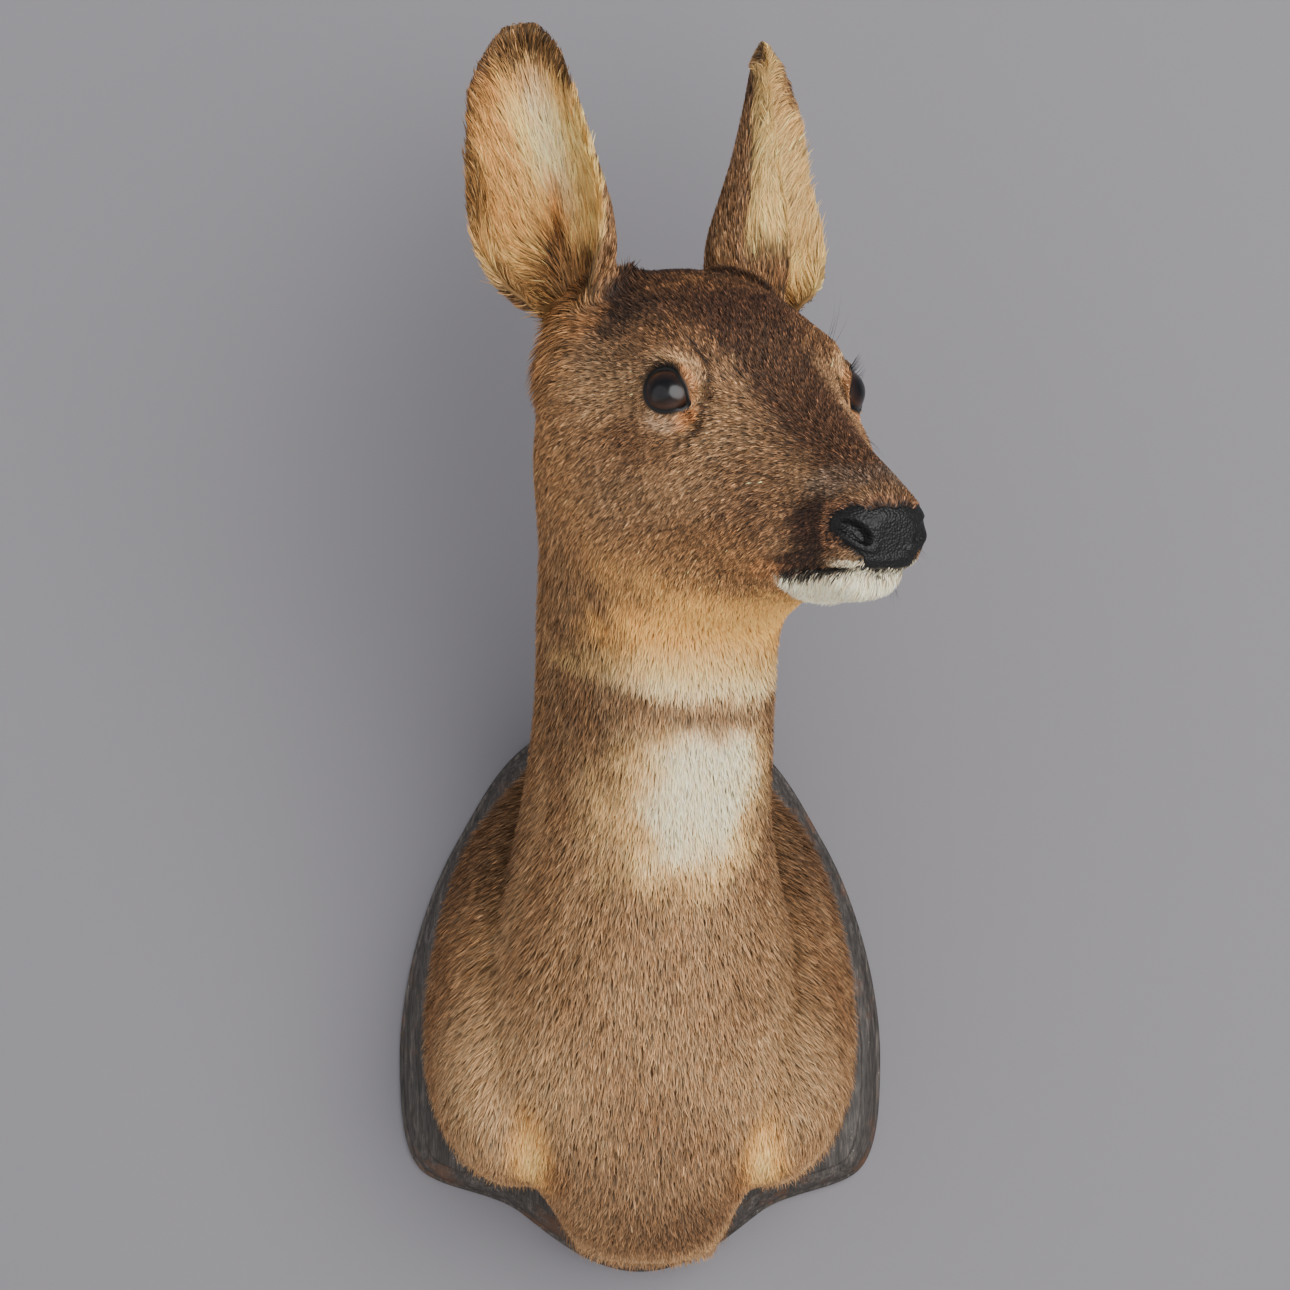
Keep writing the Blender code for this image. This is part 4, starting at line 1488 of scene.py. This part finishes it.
random = np.random.default_rng(20)
PER_CM2 = 1e4
density = hair[:, 2] * growth(points) * PER_CM2
chosen, weights = scatter(random, density)
print(f"{len(chosen)} tufts")


# %% Grow blades from the roots
PATCH = 0.003  # of the unwrap, for each tuft
STRAY = 0.8 * MM  # how far from its root a tuft takes its colour
TICKED = 0.28  # share of the tufts that are darker
REACH = (0.72, 1.1)  # shares of the full length that tufts have
ROOT_DEPTH = 0.25 * MM
CLUMP = {"head": 1.9, "body": 2.4}  # millimetres across which neighbouring hairs keep one tone


def tuft_colours(root_points, root_normals, head, ear, random):
    """Base colour of each tuft, with the chance that makes a coat look ticked."""
    count = len(root_points)
    strayed = root_points + random.normal(scale=STRAY, size=(count, 3))
    colour = markings_and_painted_light(strayed, root_normals, head, ear, with_rims=False)
    # white hair is even, and dark hair is ticked with lighter and darker tufts
    plain = np.clip(colour.mean(axis=1) * 1.5, 0, 0.8)
    light = random.lognormal(0, (0.42 + 0.16 * head) * (1 - plain), count)
    ticked = random.uniform(size=count) < TICKED * (1 - plain)
    light = light * (1 - ticked * random.uniform(0.3, 0.55 + 0.25 * head))
    clump = CLUMP["body"] + head * (CLUMP["head"] - CLUMP["body"])
    for size, seed in ((1.0, 31), (1.9, 32)):
        tone = wander(root_points / clump[:, None], size * MM, seed)
        light = light * np.exp((0.13 + 0.32 * head) * (1 - plain) * tone)
    warm = 1 + random.normal(scale=0.06, size=count)
    colour = colour * light[:, None]
    colour[:, 0] *= warm
    colour[:, 2] /= warm
    return np.clip(colour, 0, 0.95)


def blades(chosen, weights, segments, random):
    """Points, triangles, colours and unwrap of one blade for each root."""
    count = len(chosen)
    root = at_roots(points, chosen, weights)
    normal = unit(at_roots(normals, chosen, weights))
    head_at = at_roots(head, chosen, weights)
    ear_at = at_roots(ear, chosen, weights)
    size = at_roots(hair, chosen, weights)
    reach = random.uniform(*REACH, count)
    rough = np.clip(size[:, 3] / 3, 0, 1)
    depth = coat_depth(root, head_at, ear_at) + size[:, 3]
    depth = depth * random.uniform(0.55 - 0.35 * rough, 1.05 + 0.3 * rough, count)
    lines = [root - normal * ROOT_DEPTH]
    facings = [normal]
    path = [np.zeros((count, 3))] + [at_roots(one, chosen, weights) for one in offsets]
    turned = [normal] + [unit(at_roots(one, chosen, weights)) for one in facing]
    for step in range(1, segments + 1):
        share = np.clip(step / segments * reach, 0, 1.15) * STEPS
        whole = np.clip(share.astype(int), 0, STEPS - 1)
        part = (share - whole)[:, None]
        ends = (path[:-1], path[1:], turned[:-1], turned[1:])
        low, high, low_normal, high_normal = (np.choose(whole[:, None], end) for end in ends)
        out = unit(low_normal + np.clip(part, 0, 1) * (high_normal - low_normal))
        rise = depth * (step / segments) ** 0.8
        lines.append(root + low + part * (high - low) + out * (rise * MM)[:, None])
        facings.append(out)
    at_root = (root, normal, head_at, ear_at)
    return make_blades(lines, facings, size[:, 1], at_root, chosen, weights, random)


SWAY = 0.12  # sideways bend, as a share of the length
ROLL = 0.42  # turn of the blade about its line, in radians
WIDTH_SPREAD = (0.75, 1.25)
TIP_WARMTH = np.array((1.05, 1.0, 0.95))  # tips are more golden than roots
WIDTHS = {2: (0.75, 1.0, 0.0), 3: (0.7, 1.0, 0.75, 0.0)}
SHADES = {2: (0.36, 0.88, 1.75), 3: (0.3, 0.75, 1.15, 1.7)}


def make_blades(lines, facings, width, at_root, chosen, weights, random):
    """Blades along their lines. at_root holds places, normals, and shares of head and ear."""
    count = len(width)
    segments = len(lines) - 1
    sway = random.normal(scale=SWAY, size=count)[:, None]
    roll = random.normal(scale=ROLL, size=count)
    along = unit(lines[-1] - lines[0])
    _, normal, *_ = at_root
    beside = unit(np.cross(along, normal))
    width = width * random.uniform(*WIDTH_SPREAD, count)
    base = tuft_colours(*at_root, random)
    bright = base.mean(axis=1, keepdims=True)
    places = []
    colours = []
    unwrap = []
    uv_root = (loops_uv[chosen] * weights[:, :, None]).sum(axis=1)
    length = np.linalg.norm(lines[-1] - lines[0], axis=1, keepdims=True)
    for step in range(segments + 1):
        bend = lines[step] + beside * sway * length * (step / segments) ** 2
        side = unit(beside * np.cos(roll)[:, None] + facings[step] * np.sin(roll)[:, None])
        half = (width * WIDTHS[segments][step] / 2 * MM)[:, None] * side
        shade = SHADES[segments][step]
        shade = shade + (1 - shade) * np.clip(bright * 1.3, 0, 0.75)
        tint = np.clip(base * shade * np.power(TIP_WARMTH, shade - 0.85), 0, 1)
        up = PATCH * (step / segments - 0.5)
        if step < segments:
            places += [bend - half, bend + half]
            colours += [tint, tint]
            unwrap += [uv_root + (-PATCH / 2, up), uv_root + (PATCH / 2, up)]
        else:
            places.append(bend)
            colours.append(tint)
            unwrap.append(uv_root + (0, up))
    per = len(places)
    faces = []
    for step in range(segments - 1):
        a = 2 * step
        faces += [(a, a + 1, a + 3), (a, a + 3, a + 2)]
    faces.append((per - 3, per - 2, per - 1))
    faces = np.array(faces)
    index = (np.arange(count) * per)[:, None, None] + faces[None]
    place = np.stack(places, axis=1).reshape(-1, 3)
    colour = np.stack(colours, axis=1).reshape(-1, 3)
    uv = np.stack(unwrap, axis=1).reshape(-1, 2)
    return place, index.reshape(-1, 3), colour, uv


def coat_piece(name, place, faces, colour, uv, material):
    mesh = bpy.data.meshes.new(name)
    mesh.vertices.add(len(place))
    mesh.vertices.foreach_set("co", place.ravel())
    mesh.loops.add(faces.size)
    mesh.loops.foreach_set("vertex_index", faces.ravel().astype(np.int32))
    mesh.polygons.add(len(faces))
    mesh.polygons.foreach_set("loop_start", np.arange(len(faces), dtype=np.int32) * 3)
    layer = mesh.uv_layers.new(name="OFBake")
    layer.data.foreach_set("uv", np.clip(uv, 0, 1)[faces.ravel()].astype(np.float32).ravel())
    write_colour(mesh, "marking_and_painted_light", colour)
    mesh.update()
    mesh.validate()
    mesh.shade_smooth()
    mesh.materials.append(material)
    piece = put_in_scene(name, mesh)
    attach(piece, ROOT)
    print(f"{name}: {len(faces)} triangles")


# %% Hair and skin materials
coat_hair, tree, shader = new_material("coat_hair", Roughness=0.62, Specular_IOR_Level=0.32)
marking_and_painted_light = put(tree, "ShaderNodeVertexColor", layer_name="marking_and_painted_light").outputs["Color"]
feed(tree, shader, {"Base Color": marking_and_painted_light})

# the skin under the hair is darker than the tufts, and bare places shine a little
UNDER_HAIR = (0.42, 0.40, 0.38, 1)
skin_leather, tree, shader = new_material("skin_leather", Roughness=0.8, Specular_IOR_Level=0.3)
marking_and_painted_light = put(tree, "ShaderNodeVertexColor", layer_name="marking_and_painted_light").outputs["Color"]
layers = {0: 1, 6: marking_and_painted_light, 7: UNDER_HAIR}
darker = put(tree, "ShaderNodeMix", layers, data_type="RGBA", blend_type="MULTIPLY").outputs[2]
bare_at = put(tree, "ShaderNodeAttribute", attribute_name="bare").outputs["Fac"]
gloss = put(tree, "ShaderNodeMapRange", {"Value": bare_at, "To Min": 0.85, "To Max": 0.42})
feed(tree, shader, {"Base Color": darker, "Roughness": gloss.outputs[0]})
skin_mesh.materials.append(skin_leather)
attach(skin, ROOT)
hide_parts(*[name for name in FLESH if not name.startswith(("eye", "nose"))])
print(coat_hair.name, "and", skin_leather.name, "made")

# %% Make the coat's pieces
MOST_TRIANGLES = 190000
root_at = at_roots(points, chosen, weights)
head_at = at_roots(head, chosen, weights)
ear_at = at_roots(ear, chosen, weights)
on_ear = ear_at > 0.5
on_face = (head_at > 0.5) & ~on_ear
zones = {
    "ears": (on_ear, root_at[:, 0], 3),
    "head": (on_face, on_head(root_at)[:, 1], 2),
    "body": (~on_face & ~on_ear, root_at[:, 2], 2),
}
for zone, (members, order, segments) in zones.items():
    index = np.flatnonzero(members)
    index = index[np.argsort(order[index])]
    per_tuft = 2 * segments - 1
    parts = max(1, int(np.ceil(len(index) * per_tuft / MOST_TRIANGLES)))
    print(zone, len(index), "tufts")
    for number, part in enumerate(np.array_split(index, parts)):
        made = blades(chosen[part], weights[part], segments, random)
        coat_piece(f"coat_{zone}_{number + 1}", *made, coat_hair)

# %% [markdown]
# ## The bare nose
#
# The nose is bare leather, black, finely pebbled and a little shiny. It is its own
# thin piece, cut from the skin's faces and thickened, so that it has a material of its
# own.

# %% Nose leather
NOSE_LIFT = 0.12 * MM
NOSE_THICKNESS = 0.5 * MM
LEATHER_LEAST = 0.4

leather_at = leather_share(on_head(points))
form = bmesh.new()
form.from_mesh(skin_mesh)
form.verts.ensure_lookup_table()
away = []
for face in form.faces:
    if min(leather_at[vert.index] for vert in face.verts) < LEATHER_LEAST:
        away.append(face)
bmesh.ops.delete(form, geom=away, context="FACES")
keep_largest(form)
grow(form, NOSE_LIFT)
bmesh.ops.solidify(form, geom=form.faces, thickness=NOSE_THICKNESS)
bmesh.ops.recalc_face_normals(form, faces=form.faces)
nose_mesh = mesh_from(form, "nose_leather")
nose_mesh.shade_smooth()

nose_skin, tree, shader = new_material(
    "nose_skin", Base_Color=rgba(13, 13, 14), Roughness=0.5, Specular_IOR_Level=0.36
)
seat = put(tree, "ShaderNodeTexCoord").outputs["Object"]
pebble = {"Vector": seat, "Scale": 1000.0, "Smoothness": 0.3}
pebbles = put(tree, "ShaderNodeTexVoronoi", pebble, feature="SMOOTH_F1").outputs["Distance"]
relief = {"Height": pebbles, "Strength": 0.7, "Distance": 0.0006}
feed(tree, shader, {"Normal": put(tree, "ShaderNodeBump", relief, invert=True).outputs[0]})
nose_mesh.materials.clear()
nose_mesh.materials.append(nose_skin)
nose = put_in_scene("nose_leather", nose_mesh)
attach(nose, ROOT)
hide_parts("nose_pad")
print(f"nose: {len(nose_mesh.polygons)} faces")

# %% [markdown]
# ## Glass eyes
#
# Each eye is a ball with a low bulge in front, as a real eye has. Its colour runs from
# the dark pupil through a thin brown ring to black, by the angle from its gaze.

# %% Eyes
BULGE = 0.035  # how far the cornea stands out, as a share of the radius
PUPIL_STRETCH = 1.35  # the pupil is a level oval


def model_eye(side, name, node, material):
    form = bmesh.new()
    bmesh.ops.create_uvsphere(form, u_segments=64, v_segments=40, radius=EYE_RADIUS * MM)
    for vert in form.verts:
        angle = vert.co.angle(Vector((0, 0, 1)))
        vert.co *= 1 + BULGE * float(soft_step(radians(40), radians(8), angle))
    gaze = Vector(GAZE[side])
    turn = gaze.to_track_quat("Z", "Y").to_matrix().to_4x4()
    move = Matrix.Translation(Vector(EYES[side]))
    bmesh.ops.transform(form, matrix=move @ turn, verts=form.verts)
    mesh = mesh_from(form, name)
    mesh.shade_smooth()
    mesh.materials.append(material)
    ways = unit(points_of(mesh) - EYES[side])
    level = unit(np.cross(GAZE[side], UP))
    sideways = ways @ level
    upright = ways @ np.cross(level, GAZE[side])
    from_gaze = np.hypot(sideways / PUPIL_STRETCH, upright)
    write_value(mesh, "from_gaze", np.where(ways @ GAZE[side] > 0, from_gaze, 1))
    piece = put_in_scene(name, mesh)
    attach(piece, ROOT)
    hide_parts(node)
    print(f"{name}: {len(mesh.polygons)} faces")


eye_glass, tree, shader = new_material(
    "eye_glass", Roughness=0.4, Coat_Weight=0.6, Coat_Roughness=0.2, Specular_IOR_Level=0.1
)
from_gaze = put(tree, "ShaderNodeAttribute", attribute_name="from_gaze").outputs["Fac"]
IRIS = (
    # place from the middle of the gaze, and colour
    (0.3, (5, 4, 8)),
    (0.5, (36, 22, 16)),
    (0.6, (54, 33, 22)),
    (0.66, (40, 24, 17)),
    (0.71, (7, 6, 6)),
)
feed(tree, shader, {"Base Color": put_ramp(tree, from_gaze, *IRIS)})
model_eye(1, "glass_eye_left", "eye_left", eye_glass)
model_eye(-1, "glass_eye_right", "eye_right", eye_glass)

# %% [markdown]
# ## Lashes and whiskers
#
# A few long black hairs stand out from the coat: lashes along the upper lid, feelers
# over and under the eyes, and whiskers on the lips and chin. Each is a thin three-sided
# cone along a curve.

# %% Whiskers
WHISKER_SEGMENTS = 6
LASH_TURNS = np.radians(np.linspace(58, 168, 40))
LASH_WIDTH = 0.22
WHISKER_WIDTH = 0.17
WHISKER_SPOTS = (
    # place on the head, way, droop, length, spread and how many, on each side
    ((37, 2, 22), (0.5, 0.1, 0.9), (0.1, -0.4, 0.1), 26, 2.6, 5),
    ((43, 6, -19), (0.75, 0.3, -0.35), (0, -0.4, -0.2), 15, 3.0, 4),
    ((21, 80, -62), (0.8, 0.3, -0.4), (0, -0.45, -0.2), 14, 5.0, 9),
    ((11, 84, -79), (0.35, 0.3, -0.9), (0, -0.4, 0), 9, 5.0, 9),
)


def whisker_path(start, way, droop, length):
    shares = np.linspace(0, 1, WHISKER_SEGMENTS + 1)[:, None]
    return start + (way * shares + droop * shares**2) * length * MM


def whisker_lines(random):
    """Paths and root widths of all whiskers, from places and ways on the head."""
    lines = []
    for side in SIDES:
        for turn in LASH_TURNS:
            turn = turn + random.normal(scale=0.03)
            way = eye_direction(side, turn, float(opening_angle(turn)) + 0.05)
            start = EYES[side] + way * (EYE_RADIUS + 0.75) * MM
            out = unit(way * 0.9 + GAZE[side] * 0.75 - FORWARD * 0.35)
            path = whisker_path(start, out, 0.35 * UP, random.uniform(3.2, 6.0))
            lines.append((path, LASH_WIDTH))
    for side in SIDES:
        for at, way, droop, length, spread, number in WHISKER_SPOTS:
            for _ in range(number):
                away = np.array(at) * (side, 1, 1) + random.normal(scale=spread / 2, size=3)
                found = skin_tree.find_nearest(Vector(head_place(*away)))
                start = np.array(found[0]) - np.array(found[1]) * 0.5 * MM
                out = head_way(way[0] * side, *way[1:])
                out = unit(out + random.normal(scale=0.12, size=3))
                bend = np.array(droop) @ HEAD_AXES
                path = whisker_path(start, out, bend, length * random.uniform(0.6, 1.1))
                lines.append((path, WHISKER_WIDTH))
    return lines


def model_whiskers(lines):
    places, faces = [], []
    corners = np.radians((90, 210, 330))
    level, upright = np.cos(corners), np.sin(corners)
    for path, width in lines:
        first = sum(len(part) for part in places)
        along = unit(path[-1] - path[0])
        one = unit(np.cross(along, (0.3, 0.2, 0.93)))
        two = np.cross(along, one)
        for step, place in enumerate(path[:-1]):
            radius = width / 2 * (1 - step / WHISKER_SEGMENTS) * MM
            places.append(place + radius * (np.outer(level, one) + np.outer(upright, two)))
        places.append(path[-1:])
        for step in range(WHISKER_SEGMENTS - 1):
            low = first + 3 * step
            for side in range(3):
                after = (side + 1) % 3
                faces.append((low + side, low + after, low + 3 + after))
                faces.append((low + side, low + 3 + after, low + 3 + side))
        low = first + 3 * (WHISKER_SEGMENTS - 1)
        faces += [(low, low + 1, low + 3), (low + 1, low + 2, low + 3), (low + 2, low, low + 3)]
        faces.append((first, first + 2, first + 1))
    return np.concatenate(places), np.array(faces)


whisker_places, whisker_faces = model_whiskers(whisker_lines(random))
whisker_colour = np.tile(PAINT["black"], (len(whisker_places), 1))
seat = [skin_tree.find_nearest(place)[2] for place in whisker_places]
whisker_uv = loops_uv[seat].mean(axis=1)
coat_piece("whiskers", whisker_places, whisker_faces, whisker_colour, whisker_uv, coat_hair)

# %% [markdown]
# ## The board
#
# The board is the same on both sides, so half of its outline is drawn, as curves
# between a few knots, and then mirrored.

# %% The board's outline
BOARD_KNOTS = {
    # across and up, the way the outline runs there, and how far it holds that way
    "crown": ((0, 132.1), (1, 0), 57),
    "upper_side": ((85.5, 72), (0.50, -0.87), 35),
    "widest": ((112.1, -28), (0, -1), 28),
    "lower_corner": ((99.5, -83), (-0.83, -0.56), 13),
    "ogee": ((56, -100.5), (-0.80, -0.60), 15),
    "foot": ((0, -128.3), (-1, 0), 24),
}
OUTLINE_STEPS = 26


def bezier(start, out, back, end, share):
    return (
        (1 - share) ** 3 * start
        + 3 * (1 - share) ** 2 * share * out
        + 3 * (1 - share) * share**2 * back
        + share**3 * end
    )


def half_outline():
    """Places along the right half of the outline, from the top to the foot."""
    knots = []
    for at, way, hold in BOARD_KNOTS.values():
        knots.append((np.array(at), unit(np.array(way, float)), hold))
    places = []
    for (at, way, hold), (after, next_way, next_hold) in zip(knots, knots[1:]):
        out, back = at + way * hold, after - next_way * next_hold
        for step in range(OUTLINE_STEPS):
            places.append(bezier(at, out, back, after, step / OUTLINE_STEPS))
    places.append(knots[-1][0])
    return np.array(places, float)


right_half = half_outline()
left_half = right_half[-2:0:-1] * (-1, 1)
outline = np.concatenate([right_half, left_half])
print(f"board outline: {len(outline)} places")


def drawn_in(outline, inset):
    """The outline moved inwards by an inset, evenly along its own normals."""
    ahead = np.roll(outline, -1, axis=0) - np.roll(outline, 1, axis=0)
    normal = unit(np.stack([ahead[:, 1], -ahead[:, 0]], axis=1))
    return outline + normal * inset


# %% The wall behind it, open where the board hides it
BACK_RIM = 4.5  # width of wall behind the board's edge, in millimetres
opening = [(x * MM, WALL_PLACE, z * MM) for x, z in drawn_in(outline, BACK_RIM)]
wall = []
for x, z in SHEET_CORNERS:
    wall.append((x * STAGE_REACH, WALL_PLACE, max(z * STAGE_REACH, FLOOR_HEIGHT)))
stage_sheet("wall", [wall, opening], wall_paint)
print(f"wall: open behind the board, but for a rim of {BACK_RIM} mm")

# %% [markdown]
# The board is turned at its edge: a small step, a rounded moulding and a flat face. Its
# section is walked round the outline as loops of points, which are bridged with faces.

# %% The board's moulding
PROFILE = (
    # inset from the outline, and height above the wall
    (1.6, 0.0),
    (0.7, 0.35),
    (0.15, 1.3),
    (0.0, 2.6),
    (0.0, 4.4),
    (0.25, 5.3),
    (1.0, 5.9),
    (1.9, 6.2),
    (2.1, 6.9),
    (2.5, 8.6),
    (3.3, 10.4),
    (4.5, 12.0),
    (6.0, 13.3),
    (7.6, 14.1),
    (8.7, 14.4),
    (9.1, 14.5),
    (9.3, 15.4),
    (9.5, 16.3),
    (10.2, 16.7),
)

form = bmesh.new()
loops = []
for inset, height in PROFILE:
    ring = drawn_in(outline, inset)
    loops.append([form.verts.new((x * MM, -height * MM, z * MM)) for x, z in ring])
bridge(form, loops)
form.faces.new(loops[-1])
form.faces.new(list(reversed(loops[0])))
bmesh.ops.recalc_face_normals(form, faces=form.faces)
board_mesh = mesh_from(form, "wood_board")
board_points = points_of(board_mesh) / MM
print("board", board_points.min(axis=0).round(1), board_points.max(axis=0).round(1))

# %% Stained wood
wood, tree, shader = new_material("stained_wood", Specular_IOR_Level=0.35)
seat = put(tree, "ShaderNodeTexCoord").outputs["Object"]
GRAIN_STRETCH = {"Vector": seat, "Scale": (46.0, 46.0, 5.0), "Rotation": (0, 0.06, 0)}
turned = put(tree, "ShaderNodeMapping", GRAIN_STRETCH).outputs[0]


def noise(vector, scale, detail, roughness):
    inputs = {"Vector": vector, "Scale": scale, "Detail": detail, "Roughness": roughness}
    return put(tree, "ShaderNodeTexNoise", inputs).outputs["Fac"]


def ranged(value, low, high, most):
    """A value's way from low to high, as 0 to most."""
    inputs = {"Value": value, "From Min": low, "From Max": high, "To Max": most}
    return put(tree, "ShaderNodeMapRange", inputs).outputs[0]


def both(one, two):
    return put(tree, "ShaderNodeMath", {0: one, 1: two}, operation="MULTIPLY").outputs[0]


def over(share, below, above):
    inputs = {0: share, 6: below, 7: rgba(*above)}
    return put(tree, "ShaderNodeMix", inputs, data_type="RGBA").outputs[2]


grain = noise(turned, 6.0, 8.0, 0.7)
lines = noise(turned, 26.0, 3.0, 0.6)
wear = noise(seat, 34.0, 6.0, 0.65)
flecks = {"Vector": seat, "Scale": 420.0}
fleck = put(tree, "ShaderNodeTexVoronoi", flecks, feature="F1").outputs["Distance"]
streak = put(tree, "ShaderNodeMix", {0: 0.5, 2: grain, 3: lines}, data_type="FLOAT").outputs[0]
STAIN = (
    # place in the streaks, and colour
    (0.36, (40, 37, 35)),
    (0.64, (102, 94, 89)),
    (0.5, (64, 60, 57)),
)
stain = put_ramp(tree, streak, *STAIN)

# worn places on the moulding, where the stain has gone and the brown wood shows
moulding = put(tree, "ShaderNodeAttribute", attribute_name="moulding").outputs["Fac"]
worn = over(both(ranged(wear, 0.56, 0.66, 0.75), moulding), stain, (94, 66, 48))

# pale specks of dust and chips
some = both(ranged(fleck, 0.16, 0.09, 0.8), ranged(grain, 0.5, 0.62, 1.0))
specked = over(some, worn, (165, 160, 152))
gloss = put(tree, "ShaderNodeMapRange", {"Value": wear, "To Min": 0.42, "To Max": 0.72})
relief = {"Height": streak, "Strength": 0.35, "Distance": 0.0006}
bump = put(tree, "ShaderNodeBump", relief)
surface = {"Base Color": specked, "Roughness": gloss.outputs[0], "Normal": bump.outputs[0]}
feed(tree, shader, surface)

rings = np.arange(len(board_points)) // len(outline)
write_value(board_mesh, "moulding", (rings < len(PROFILE) - 1).astype(float))
board_mesh.materials.append(wood)
board_mesh.shade_smooth()
board = put_in_scene("wood_board", board_mesh)
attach(board, ROOT)
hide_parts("board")
print(f"wood_board: {len(board_mesh.polygons)} faces")
